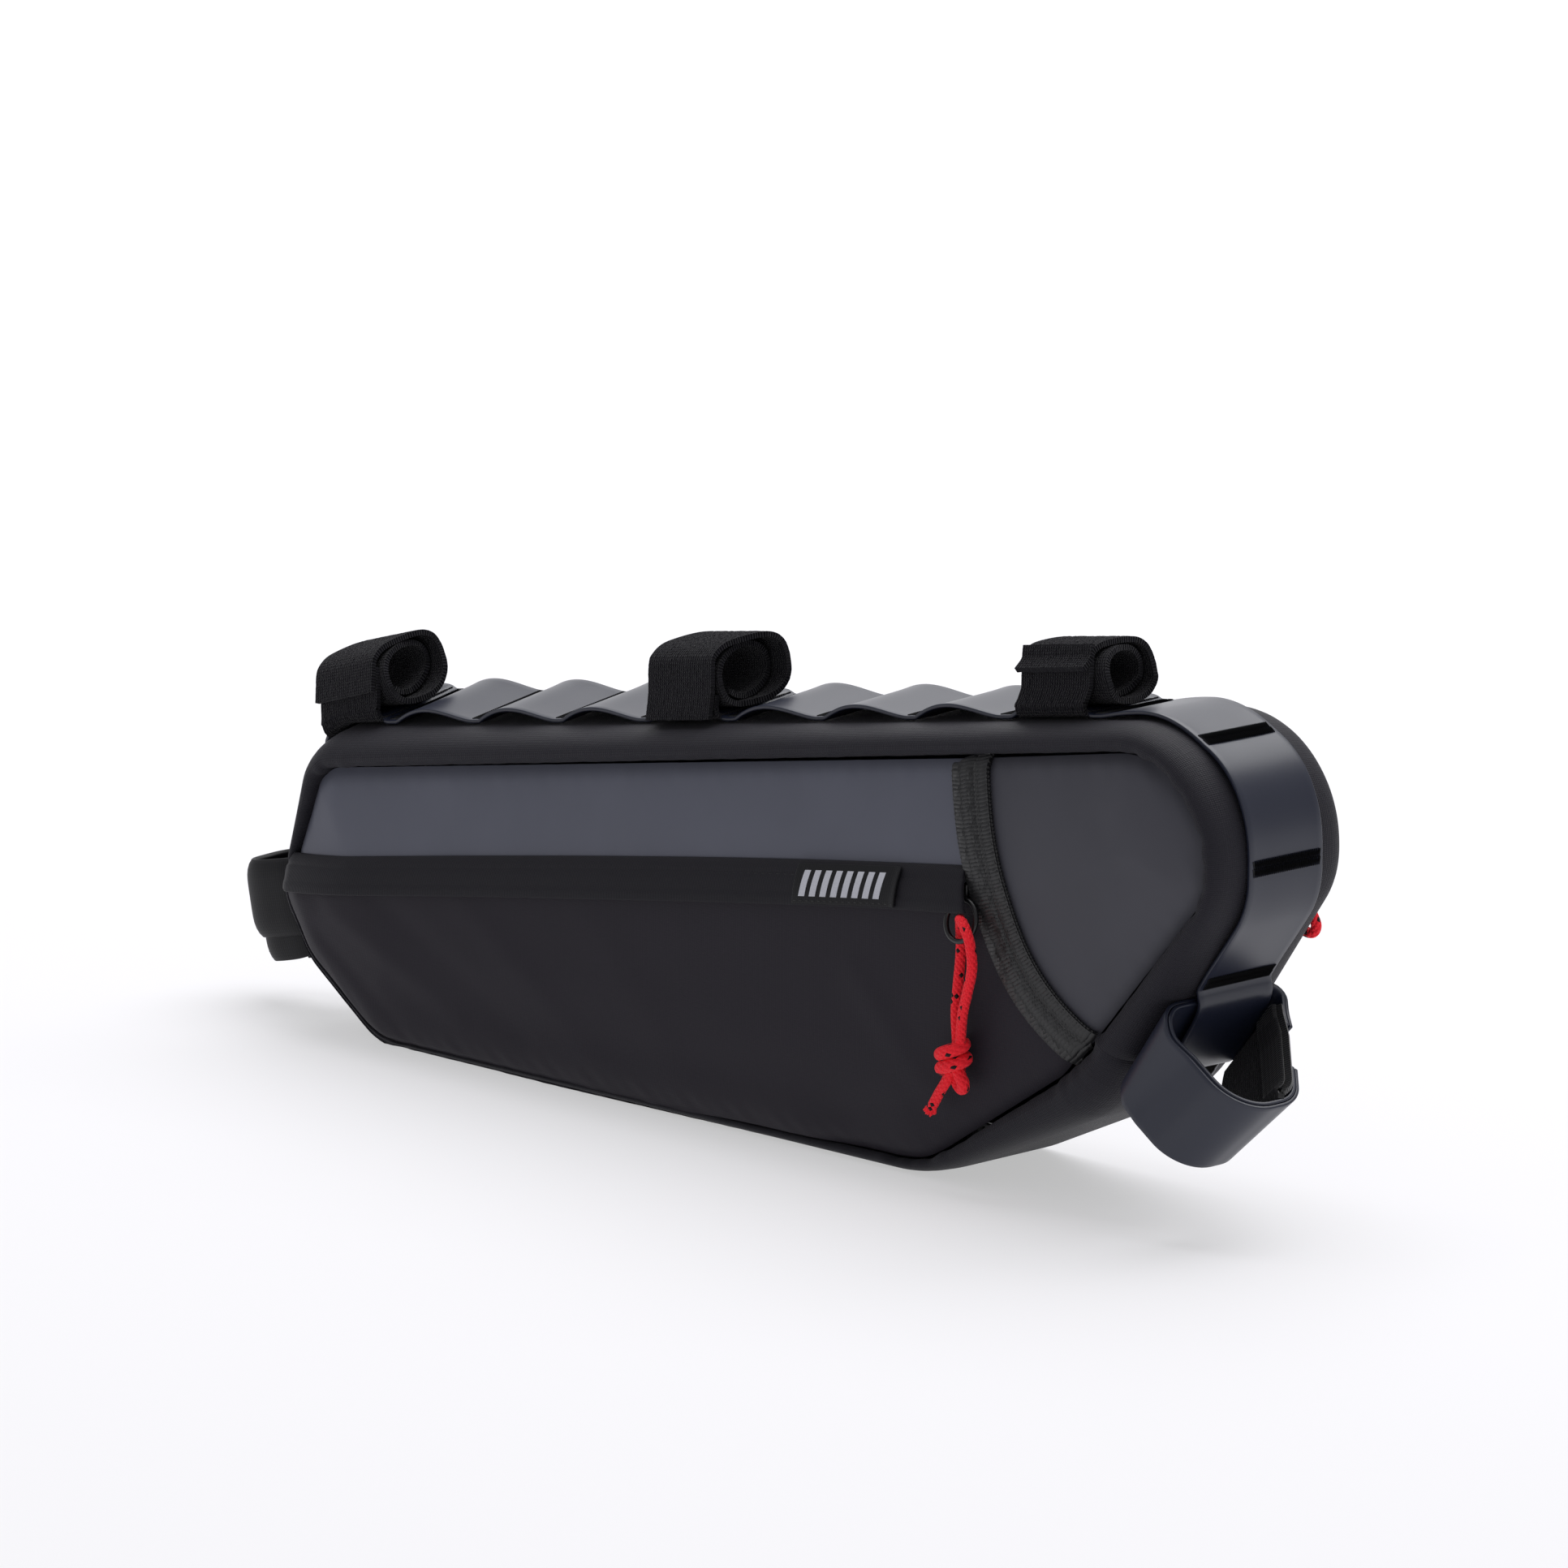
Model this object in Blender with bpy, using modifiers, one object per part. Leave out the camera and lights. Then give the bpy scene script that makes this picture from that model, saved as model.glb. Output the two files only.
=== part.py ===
"""A bicycle frame bag: a long padded wedge of cloth that hangs under the top tube of a bicycle.

It rests on its lower edge. X runs from the tail, at the seat tube, to the nose, at the head tube. The front
side, with the grey nose panel, faces -Y, and +Z is up. Sizes are in metres. A padded band runs all the way
round the bag's outline. A side panel closes each side of that band, and the space between them is the bag's
main compartment. A daisy chain strip runs over the band, and five straps are threaded under its cells.
"""
import math

import bmesh
import bpy
import numpy as np
from mathutils import Vector

# Body
BODY_LENGTH = 0.400
NOSE_HEIGHT = 0.150
SEAM_DEPTH = 0.051
BAND_FLAT = 0.034
BAND_WRAP = 0.0085
BAND_PUFF = 0.0022
BAND_WALL = 0.0026
PANEL_WALL = 0.0015
BELLY_FRONT = 0.0065
BELLY_BACK = 0.0040
BELLY_REACH = 0.036
LEAN_AT_TAIL = 0.23
GAP = 0.0003
SEAM_GAP = 0.0010
TRIM_END_GAP = 0.0018

# Zip, flap, label and trim
FLAP_TAIL_HEIGHT = 0.0567
FLAP_NOSE_HEIGHT = 0.0975
FLAP_CROWN = 0.0030
FLAP_HEIGHT = 0.0120
FLAP_WALL = 0.0014
FLAP_LIFT = 0.0026
FLAP_EXTRA_LIFT = 0.0017
FLAP_TUCK = 0.0015
ZIP_WIDTH = 0.0060
ZIP_BELOW_FLAP_TOP = 0.0070
ZIP_WALL = 0.0010
ZIP_RECESS = 0.0008
LABEL_WIDTH = 0.043
LABEL_HEIGHT = 0.0112
LABEL_WALL = 0.0007
LABEL_ALONG = 0.6575
TRIM_WIDTH = 0.0135
TRIM_WALL = 0.0014
TRIM_TOP_ALONG = 0.7610
TRIM_LOW_UP = 0.330

# Slider, ring and pull cord
SLIDER_LENGTH = 0.0065
SLIDER_HEIGHT = 0.0050
SLIDER_WALL = 0.0010
RING_RADIUS = 0.0058
RING_WIRE = 0.0016
RING_TOP_STANDOFF = 0.0023
RING_SWING = 0.0033
RING_DROP = 0.0024
CORD_DIAMETER = 0.0031
KNOT_WIDTH = 0.0115
KNOT_HEIGHT = 0.0140
KNOT_DEPTH = 0.0095
SLIDER_TO_TRIM = 0.0018
SLIDER_BEHIND = 0.0045
FRONT_PULL_ALONG = 0.7748
BACK_PULL_ALONG = 0.9475

# Daisy chain strip
STRIP_WIDTH = 0.030
STRIP_WALL = 0.0013
TOP_PITCH = 0.0380
NOSE_PITCH = 0.0395
ARCH_RISE = 0.0038
NOSE_RISE = 0.0009
STRAP_CELL_RISE = 0.0034
LOOP_CELL_RISE = 0.0042
LAST_TOP_TACK_ALONG = 0.8590
TOP_CELLS = 9
NOSE_CELLS = 4

# Hook-and-loop straps
STRAP_WIDTH = 0.025
STRAP_WALL = 0.0020
STRAP_UNDER = 0.0004
ROLL_STEP = 0.0024
ROLL_SLACK = 0.0010
ROLL_TURNS = 2.35
TAIL_STRAP_WALL = 0.0022
TAIL_ROLL_STEP = 0.0027
TAIL_ROLL_TURNS = 2.3
TAIL_ROLL_OUT = 0.0360
TAIL_ROLL_DEPTH = 0.0270
TAIL_ROLL_SLIP = 0.0080
TAIL_ROLL_OFF_CENTRE = 0.0025
TAIL_ROLL_BEFORE = 0.0098
TAIL_ROLL_LOWER = 0.0045

# Down tube strap
LOOP_WIDTH = 0.0275
LOOP_WALL = 0.0024
LOOP_FRONT = 0.0320
LOOP_DROP = 0.0400
LOOP_BACK = 0.0218
LOOP_LOW_BACK = -0.0085
LOOP_TAB_FROM = 0.0310
LOOP_LAP = 0.0130
LOOP_SKEW_FRONT = 0.17
LOOP_SKEW_BACK = 0.32
LOOP_SKEW_BY = 0.018
LOOP_SAG = 4.5
HOOK_WIDTH = 0.0255
HOOK_WALL = 0.0020
HOOK_CLEAR = 0.0010
HOOK_TO = 0.0370
HOOK_STATION = 0.0020
HOOK_ROWS = 10
HOOK_FROM = -0.0130

# The bag's side outline, clockwise seen from the front. "along" is a share of BODY_LENGTH from the tail, "up"
# and "radius" are shares of NOSE_HEIGHT, and "wrap" is how much of BAND_WRAP the band turns onto the sides.
OUTLINE_COLUMNS = ("corner", "along", "up", "radius", "wrap")
OUTLINE = (
    ("tail_low", 0.0000, 0.290, 0.147, 0.35),
    ("tail_top", 0.0325, 0.645, 0.090, 0.90),
    ("nose_top", 1.0000, 1.000, 0.240, 0.90),
    ("nose_low", 1.0025, 0.660, 0.200, 0.75),
    ("chin", 0.8875, 0.207, 0.270, 1.00),
    ("bottom_right", 0.7150, 0.000, 0.400, 0.25),
    ("bottom_left", 0.1150, 0.000, 0.173, 0.22),
    ("tail_chin", 0.0350, 0.147, 0.173, 0.22),
)

# Half of the band's section, from the edge of its flat middle to the seam: the share of the way to the seam,
# the share of BAND_PUFF and the share of the wrap.
SECTION_COLUMNS = ("sideways", "puff", "inset")
SECTION = (
    (0.00, 0.00, 0.00),
    (0.60, 0.10, 0.09),
    (0.93, 0.70, 0.33),
    (1.00, 1.00, 0.65),
    (1.00, 0.00, 1.00),
)

# The trim's middle line bends towards these two points, in shares of BODY_LENGTH and NOSE_HEIGHT.
TRIM_BENDS = ((0.785, 0.700), (0.800, 0.480))

# Rolled straps: which cell they are threaded through, counted from the tail, the roll's depth and height, and
# how far its middle sits towards the front and towards the nose.
ROLL_COLUMNS = ("name", "cell", "depth", "height", "forward", "slide")
ROLLS = (
    ("top_strap_tail", 0, 0.0325, 0.0205, 0.0010, 0.0012),
    ("top_strap_middle", 4, 0.0340, 0.0218, 0.0020, 0.0012),
    ("top_strap_nose", 8, 0.0310, 0.0198, 0.0010, 0.0030),
)

# The front pull cord's route: metres to the right of the slider, below the flap's lower edge and out from the
# lower panel. It comes up behind the ring's lower bar, turns over it and goes down again to the knot.
FRONT_CORD_ROUTE = (
    (-0.0034, 0.0362, 0.0046),
    (-0.0031, 0.0300, 0.0036),
    (-0.0026, 0.0230, 0.0028),
    (-0.0022, 0.0150, 0.0022),
    (-0.0019, 0.0098, 0.0020),
    (-0.0015, 0.0060, 0.0026),
    (-0.0006, 0.0036, 0.0042),
    (0.0008, 0.0030, 0.0064),
    (0.0021, 0.0048, 0.0078),
    (0.0026, 0.0090, 0.0083),
    (0.0025, 0.0150, 0.0078),
    (0.0020, 0.0230, 0.0070),
    (0.0010, 0.0300, 0.0064),
    (0.0002, 0.0362, 0.0062),
)
KNOT_PLACE = (-0.0026, 0.0437, 0.0056)
FRONT_TAIL_ROUTE = (
    (-0.0040, 0.0512, 0.0056),
    (-0.0066, 0.0538, 0.0057),
    (-0.0094, 0.0570, 0.0060),
    (-0.0120, 0.0604, 0.0066),
)

# The back pull cord is a short bare loop: both its ends go in under the flap, beside the ring.
BACK_CORD_ROUTE = (
    (-0.0026, 0.0014, 0.0022),
    (-0.0020, 0.0046, 0.0026),
    (-0.0008, 0.0082, 0.0036),
    (0.0008, 0.0116, 0.0044),
    (0.0030, 0.0140, 0.0048),
    (0.0058, 0.0142, 0.0050),
    (0.0070, 0.0120, 0.0050),
    (0.0064, 0.0088, 0.0046),
    (0.0050, 0.0058, 0.0038),
    (0.0036, 0.0032, 0.0030),
    (0.0026, 0.0014, 0.0024),
)

FRONT = -1.0
BACK = 1.0


class Outline:
    """The bag's side outline as straight runs and round corners, measured by the distance along it."""

    def __init__(self):
        self.pieces = []
        self.marks = {}
        self.wraps = []
        self.length = 0.0
        rows = [dict(zip(OUTLINE_COLUMNS, row)) for row in OUTLINE]
        points = [Vector((row["along"] * BODY_LENGTH, row["up"] * NOSE_HEIGHT)) for row in rows]
        cuts = []
        for index, row in enumerate(rows):
            before = (points[index - 1] - points[index]).normalized()
            after = (points[(index + 1) % len(rows)] - points[index]).normalized()
            half_angle = before.angle(after) / 2
            radius = row["radius"] * NOSE_HEIGHT
            reach = radius / math.tan(half_angle)
            centre = points[index] + (before + after).normalized() * radius / math.sin(half_angle)
            cuts.append((points[index] + before * reach, points[index] + after * reach, centre, radius, half_angle))
        for index, row in enumerate(rows):
            following = (index + 1) % len(rows)
            start = cuts[index][1]
            end = cuts[following][0]
            self.marks[row["corner"]] = self.length
            self.pieces.append(("line", self.length, (end - start).length, start, (end - start).normalized()))
            self.length += (end - start).length
            entry, _, centre, radius, half_angle = cuts[following]
            turn = math.pi - 2 * half_angle
            first = math.atan2(entry.y - centre.y, entry.x - centre.x)
            self.wraps.append((self.length + radius * turn / 2, rows[following]["wrap"] * BAND_WRAP))
            self.pieces.append(("arc", self.length, radius * turn, centre, (radius, first, turn)))
            self.length += radius * turn

    def piece_at(self, distance):
        """The straight run or arc at a distance along the outline, and how far into it that is."""
        distance %= self.length
        for piece in reversed(self.pieces):
            if distance >= piece[1]:
                return piece, distance - piece[1]
        return self.pieces[0], distance

    def at(self, distance):
        """The point at a distance along the outline and the direction out of the bag there."""
        (kind, _, _, base, shape), into = self.piece_at(distance)
        if kind == "line":
            return base + shape * into, Vector((-shape.y, shape.x))
        radius, first, _ = shape
        angle = first - into / radius
        outward = Vector((math.cos(angle), math.sin(angle)))
        return base + outward * radius, outward

    def wrap(self, distance):
        """How far the band turns onto the bag's side at a distance along the outline."""
        places = [place for place, _ in self.wraps]
        widths = [width for _, width in self.wraps]
        places = [places[-1] - self.length] + places + [places[0] + self.length]
        widths = [widths[-1]] + widths + [widths[0]]
        distance %= self.length
        return float(np.interp(distance, places, widths))

    def seam(self, distance, inward=0.0):
        """The point on the seam between the band and the side panel, moved inward by a margin."""
        point, outward = self.at(distance)
        return point - outward * (self.wrap(distance) + inward)

    def stations(self, start, end):
        """Distances from start to end, close together on the arcs and wide apart on the straight runs."""
        found = [start]
        for turn in range(-1, 3):
            for kind, begin, length, _, shape in self.pieces:
                count = math.ceil(length / 0.026) if kind == "line" else math.ceil(shape[2] / math.radians(12))
                for step in range(count):
                    place = turn * self.length + begin + length * step / count
                    if start + 0.002 < place < end - 0.002:
                        found.append(place)
        return found + [end]

    def on_run(self, corner, share):
        """The distance along the outline at a share of the straight run that follows a corner."""
        begin = self.marks[corner]
        run = next(piece for piece in self.pieces if piece[0] == "line" and piece[1] == begin)
        return begin + run[2] * share


OUTLINE_CURVE = Outline()
SEAM_POINTS = np.array([OUTLINE_CURVE.seam(d) for d in np.linspace(0.0, OUTLINE_CURVE.length, 240, endpoint=False)])


def settled(point):
    """The bag leans back a little towards its tail: what is high and forward of the middle drops."""
    share = min(max((0.90 - point.x / BODY_LENGTH) / 0.90, 0.0), 1.0)
    level = min(max((point.z / NOSE_HEIGHT - 0.13) / 0.47, 0.0), 1.0)
    rise = point.y * LEAN_AT_TAIL * share * level * level * (3 - 2 * level)
    return Vector((point.x, point.y, point.z + rise))


def on_band(distance, depth, out):
    """A point over the band: along the outline, across the bag and out from the band's surface."""
    point, outward = OUTLINE_CURVE.at(distance)
    place = point + outward * out
    return Vector((place.x, depth, place.y))


def solve(function, low, high):
    """The value between low and high at which a function that changes sign is zero."""
    rising = function(high) > function(low)
    for _ in range(60):
        middle = (low + high) / 2
        if (function(middle) > 0) == rising:
            high = middle
        else:
            low = middle
    return (low + high) / 2


def flap_top(along):
    """Height of the flap's upper edge at a place along the bag."""
    share = (along - 0.02 * BODY_LENGTH) / (0.755 * BODY_LENGTH)
    height = FLAP_TAIL_HEIGHT + (FLAP_NOSE_HEIGHT - FLAP_TAIL_HEIGHT) * share
    return height + FLAP_CROWN * (1 - (2 * share - 1) ** 2)


def distance_at_height(line, low, high, inward):
    """Where the seam crosses a line whose height depends on the place along the bag."""
    def above(distance):
        point = OUTLINE_CURVE.seam(distance, inward)
        return point.y - line(point.x)
    return solve(above, low, high)


def belly(point, side):
    """Depth of a side panel's outer face at a point of the side view."""
    starts = SEAM_POINTS
    steps = np.roll(SEAM_POINTS, -1, axis=0) - starts
    offsets = np.array([point.x, point.y]) - starts
    shares = np.clip((offsets * steps).sum(axis=1) / (steps * steps).sum(axis=1), 0.0, 1.0)
    gaps = offsets - steps * shares[:, None]
    inside = math.sqrt((gaps * gaps).sum(axis=1).min())
    share = min(inside / BELLY_REACH, 1.0)
    fullness = BELLY_FRONT if side == FRONT else BELLY_BACK
    return side * (SEAM_DEPTH / 2 + fullness * (1 - (1 - share) ** 2))


def on_side(point, side, out=0.0):
    """A point of the side view laid on the side panel, or a distance out from it."""
    return Vector((point.x, belly(point, side) + side * out, point.y))


TRIM_TOP = solve(
    lambda d: OUTLINE_CURVE.seam(d, SEAM_GAP).x - TRIM_TOP_ALONG * BODY_LENGTH,
    OUTLINE_CURVE.on_run("tail_top", 0.1), OUTLINE_CURVE.on_run("tail_top", 0.95))
TRIM_LOW = solve(
    lambda d: OUTLINE_CURVE.seam(d, SEAM_GAP).y - TRIM_LOW_UP * NOSE_HEIGHT,
    OUTLINE_CURVE.on_run("nose_low", 0.2), OUTLINE_CURVE.on_run("chin", 0.3))


def trim_line(share, sideways=0.0):
    """The middle line of the webbing trim from its top end to its low end, moved sideways to the right."""
    first = OUTLINE_CURVE.seam(TRIM_TOP, SEAM_GAP)
    last = OUTLINE_CURVE.seam(TRIM_LOW, SEAM_GAP)
    bends = [Vector((along * BODY_LENGTH, up * NOSE_HEIGHT)) for along, up in TRIM_BENDS]
    points = (first, bends[0], bends[1], last)
    rest = 1 - share
    weights = (rest ** 3, 3 * rest * rest * share, 3 * rest * share * share, share ** 3)
    place = sum((p * w for p, w in zip(points, weights)), Vector((0, 0)))
    slopes = (3 * rest * rest, 6 * rest * share, 3 * share * share)
    heading = sum(((points[i + 1] - points[i]) * slopes[i] for i in range(3)), Vector((0, 0))).normalized()
    return place + Vector((-heading.y, heading.x)) * sideways


def trim_crossing(line, sideways):
    """The share of the trim's length at which it crosses a line of the side view."""
    def above(share):
        point = trim_line(share, sideways)
        return point.y - line(point.x)
    return solve(above, 0.02, 0.98)


def zip_top(along):
    """Height of the upper edge of the slot that the zip closes."""
    return flap_top(along) - ZIP_BELOW_FLAP_TOP + ZIP_WIDTH / 2


def zip_low(along):
    """Height of the lower edge of the slot that the zip closes."""
    return zip_top(along) - ZIP_WIDTH


def flap_low(along):
    """Height of the flap's lower edge."""
    return flap_top(along) - FLAP_HEIGHT


def patch(bottom, right, top, left):
    """A smooth map of the unit square onto the side view, from the four curves that bound a panel."""
    def place(u, v):
        ruled = bottom(u) * (1 - v) + top(u) * v + left(v) * (1 - u) + right(v) * u
        low = bottom(0) * (1 - u) + bottom(1) * u
        high = top(0) * (1 - u) + top(1) * u
        return ruled - low * (1 - v) - high * v
    return place


def seam_stretch(start, end):
    """A panel's edge that follows the seam from one distance to another."""
    return lambda share: OUTLINE_CURVE.seam(start + (end - start) * share, SEAM_GAP)


def line_stretch(line, start, end):
    """A panel's edge that follows a line of the side view between two places along the bag."""
    def place(share):
        along = start + (end - start) * share
        return Vector((along, line(along)))
    return place


def trim_stretch(start, end, sideways):
    """A panel's edge under the middle of the webbing trim."""
    return lambda share: trim_line(start + (end - start) * share, sideways)


def finish(name, rgb, roughness, metallic=0.0):
    """A material with the colour and gloss of one kind of piece."""
    material = bpy.data.materials.get(name) or bpy.data.materials.new(name)
    material.use_nodes = True
    shader = material.node_tree.nodes["Principled BSDF"]
    shader.inputs["Base Color"].default_value = (*rgb, 1.0)
    shader.inputs["Roughness"].default_value = roughness
    shader.inputs["Metallic"].default_value = metallic
    return material


def nylon():
    """Black woven nylon."""
    return finish("black_nylon", (0.022, 0.022, 0.026), 0.62)


def coated():
    """Dark grey coated cloth."""
    return finish("grey_coated_cloth", (0.075, 0.079, 0.092), 0.5)


def sheeting():
    """Dark blue-grey plastic sheeting."""
    return finish("strip_sheeting", (0.042, 0.046, 0.062), 0.42)


def hook_and_loop():
    """Black hook-and-loop strap."""
    return finish("hook_and_loop", (0.011, 0.011, 0.013), 0.95)


def red_cord():
    """Red braided cord."""
    return finish("red_cord", (0.84, 0.020, 0.032), 0.7)


def black_metal():
    """Black painted metal."""
    return finish("black_metal", (0.015, 0.015, 0.017), 0.35, 0.6)


def add_piece(name, mesh, material):
    """Puts a mesh into the scene as one named piece of the bag."""
    piece = bpy.data.objects.new(name, mesh)
    piece.data.materials.append(material)
    bpy.data.collections["bicycle_frame_bag"].objects.link(piece)
    return piece


def add_sheet(name, columns, rows, place, wall, material, grow=-1.0):
    """Lays a grid where place(u, v) says and gives it a wall: inwards for grow -1, outwards for 1."""
    mesh = bpy.data.meshes.new(name)
    grid = bmesh.new()
    bmesh.ops.create_grid(grid, x_segments=columns, y_segments=rows, size=0.5)
    for vertex in grid.verts:
        vertex.co = settled(place(vertex.co.x + 0.5, vertex.co.y + 0.5))
    grid.to_mesh(mesh)
    grid.free()
    mesh.shade_smooth()
    piece = add_piece(name, mesh, material)
    shell = piece.modifiers.new("wall", "SOLIDIFY")
    shell.thickness = wall
    shell.offset = grow
    return piece


def along_list(values, share):
    """The value of a list at a share of its length, for a grid whose columns match the list."""
    return values[round(share * (len(values) - 1))]


def add_band(name, start, end):
    """One stretch of the padded band that runs round the bag and turns onto both of its sides."""
    stations = OUTLINE_CURVE.stations(start, end)
    rows = [dict(zip(SECTION_COLUMNS, row)) for row in SECTION]
    section = [(-1.0, row) for row in reversed(rows)] + [(1.0, row) for row in rows]

    def place(u, v):
        distance = along_list(stations, u)
        side, row = along_list(section, v)
        wrap = OUTLINE_CURVE.wrap(distance)
        half_flat = BAND_FLAT / 2
        depth = half_flat + (SEAM_DEPTH / 2 - half_flat) * row["sideways"] + BAND_PUFF * row["puff"] * wrap / BAND_WRAP
        return on_band(distance, side * depth, -wrap * row["inset"])

    return add_sheet(name, len(stations) - 1, len(section) - 1, place, BAND_WALL, nylon())


def add_panel(name, side, columns, rows, edges, material):
    """A side panel between four edges of the side view, bellied out by what the bag holds."""
    outline = patch(*edges)

    def place(u, v):
        return on_side(outline(u if side == FRONT else 1 - u, v), side)

    return add_sheet(name, columns, rows, place, PANEL_WALL, material)


def add_front_panels():
    """The front's grey upper panel, black lower panel and grey nose panel."""
    half_gap = GAP / 2
    tail_mid = OUTLINE_CURVE.marks["tail_top"] - 0.006
    nose_mid = (OUTLINE_CURVE.on_run("tail_top", 1.0) + OUTLINE_CURVE.marks["nose_top"]) / 2
    low_mid = (OUTLINE_CURVE.on_run("nose_top", 1.0) + OUTLINE_CURVE.marks["nose_low"]) / 2
    chin_mid = OUTLINE_CURVE.on_run("bottom_left", 1.0)
    tail_run = OUTLINE_CURVE.on_run("tail_low", 0.6)
    high = distance_at_height(zip_top, -0.02, tail_run, SEAM_GAP)
    low = distance_at_height(zip_low, -0.02, tail_run, SEAM_GAP)
    high_share = trim_crossing(zip_top, -half_gap)
    low_share = trim_crossing(zip_low, -half_gap)
    high_start = OUTLINE_CURVE.seam(high, SEAM_GAP).x
    low_start = OUTLINE_CURVE.seam(low, SEAM_GAP).x
    upper = (
        line_stretch(zip_top, high_start, trim_line(high_share, -half_gap).x),
        trim_stretch(high_share, 0.0, -half_gap),
        seam_stretch(tail_mid, TRIM_TOP),
        seam_stretch(high, tail_mid),
    )
    add_panel("front_upper_panel", FRONT, 20, 5, upper, coated())
    lower = (
        seam_stretch(chin_mid, TRIM_LOW),
        trim_stretch(1.0, low_share, -half_gap),
        line_stretch(zip_low, low_start, trim_line(low_share, -half_gap).x),
        seam_stretch(chin_mid, low + OUTLINE_CURVE.length),
    )
    add_panel("front_lower_panel", FRONT, 24, 7, lower, nylon())
    nose = (
        seam_stretch(TRIM_LOW, low_mid),
        seam_stretch(low_mid, nose_mid),
        seam_stretch(TRIM_TOP, nose_mid),
        trim_stretch(1.0, 0.0, half_gap),
    )
    add_panel("nose_panel", FRONT, 7, 9, nose, coated())


def add_back_panels():
    """The back's grey upper panel and black lower panel."""
    tail_mid = OUTLINE_CURVE.marks["tail_top"] - 0.006
    nose_mid = (OUTLINE_CURVE.on_run("tail_top", 1.0) + OUTLINE_CURVE.marks["nose_top"]) / 2
    tail_run = OUTLINE_CURVE.on_run("tail_low", 0.6)
    low_run = OUTLINE_CURVE.on_run("nose_low", 0.3)
    chin_mid = OUTLINE_CURVE.on_run("chin", 0.0)
    tail_chin = OUTLINE_CURVE.on_run("bottom_left", 1.0)
    high = distance_at_height(zip_top, -0.02, tail_run, SEAM_GAP)
    low = distance_at_height(zip_low, -0.02, tail_run, SEAM_GAP)
    high_end = distance_at_height(zip_top, nose_mid, low_run, SEAM_GAP)
    low_end = distance_at_height(zip_low, nose_mid, low_run, SEAM_GAP)
    upper = (
        line_stretch(zip_top, OUTLINE_CURVE.seam(high, SEAM_GAP).x, OUTLINE_CURVE.seam(high_end, SEAM_GAP).x),
        seam_stretch(high_end, nose_mid),
        seam_stretch(tail_mid, nose_mid),
        seam_stretch(high, tail_mid),
    )
    add_panel("back_upper_panel", BACK, 26, 4, upper, coated())
    lower = (
        seam_stretch(tail_chin, chin_mid),
        seam_stretch(chin_mid, low_end),
        line_stretch(zip_low, OUTLINE_CURVE.seam(low, SEAM_GAP).x, OUTLINE_CURVE.seam(low_end, SEAM_GAP).x),
        seam_stretch(tail_chin, low + OUTLINE_CURVE.length),
    )
    add_panel("back_lower_panel", BACK, 26, 7, lower, nylon())


def side_span(side, line, inward):
    """Where a line of the side view starts and ends: at the tail seam, and at the trim or the nose seam."""
    tail_run = OUTLINE_CURVE.on_run("tail_low", 0.6)
    start = OUTLINE_CURVE.seam(distance_at_height(line, -0.02, tail_run, inward), inward).x
    if side == FRONT:
        sideways = -TRIM_WIDTH / 2 - inward
        return start, trim_line(trim_crossing(line, sideways), sideways).x
    nose_mid = (OUTLINE_CURVE.on_run("tail_top", 1.0) + OUTLINE_CURVE.marks["nose_top"]) / 2
    low_run = OUTLINE_CURVE.on_run("nose_low", 0.3)
    return start, OUTLINE_CURVE.seam(distance_at_height(line, nose_mid, low_run, inward), inward).x


def pull_along(side):
    """Where the pull hangs along the bag."""
    return BODY_LENGTH * (FRONT_PULL_ALONG if side == FRONT else BACK_PULL_ALONG)


def flap_lift(along, share, side):
    """How far the flap's inner face stands off the panel, at a share of its height from its lower edge."""
    nearness = math.exp(-((along - pull_along(side)) / 0.020) ** 2)
    return GAP + (FLAP_LIFT + FLAP_EXTRA_LIFT * nearness) * (1 - share * share)


def add_zip(side, name):
    """The zip's closed tape in its slot, and the flap that hangs over it from a seam along its upper edge."""
    def strip_place(low_line, high_line, inward, out):
        low_start, low_end = side_span(side, low_line, inward)
        high_start, high_end = side_span(side, high_line, inward)

        def place(u, v):
            u = u if side == FRONT else 1 - u
            low = low_start + (low_end - low_start) * u
            high = high_start + (high_end - high_start) * u
            low_point = Vector((low, low_line(low)))
            high_point = Vector((high, high_line(high)))
            point = low_point.lerp(high_point, v)
            return on_side(point, side, out(point.x, v))
        return place

    def tape_low(along):
        return zip_low(along) + GAP

    def tape_high(along):
        return zip_top(along) - GAP

    tape = strip_place(tape_low, tape_high, SEAM_GAP, lambda along, share: -ZIP_RECESS)
    add_sheet("zip_tape_" + name, 24, 1, tape, ZIP_WALL, nylon())
    flap = strip_place(flap_low, flap_top, FLAP_TUCK, lambda along, share: flap_lift(along, share, side))
    add_sheet("zip_flap_" + name, 26, 3, flap, FLAP_WALL, nylon(), grow=1.0)


def add_label():
    """The woven label that is folded over the front flap; it is bare."""
    start = LABEL_ALONG * BODY_LENGTH - LABEL_WIDTH / 2

    def place(u, v):
        along = start + LABEL_WIDTH * u
        share = 1 - (1 - v) * LABEL_HEIGHT / FLAP_HEIGHT
        height = flap_low(along) + FLAP_HEIGHT * share
        out = flap_lift(along, share, FRONT) + FLAP_WALL + GAP
        return on_side(Vector((along, height)), FRONT, out)

    add_sheet("label_tab", 5, 3, place, LABEL_WALL, nylon(), grow=1.0)


def add_trim():
    """The ribbed webbing trim that covers the join between the nose panel and the panels behind it."""
    margin = TRIM_END_GAP / (OUTLINE_CURVE.seam(TRIM_TOP) - OUTLINE_CURVE.seam(TRIM_LOW)).length

    def place(u, v):
        share = 1 - margin - v * (1 - 2 * margin)
        return on_side(trim_line(share, (u - 0.5) * TRIM_WIDTH), FRONT, GAP)

    add_sheet("webbing_trim", 2, 14, place, TRIM_WALL, nylon(), grow=1.0)


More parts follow.
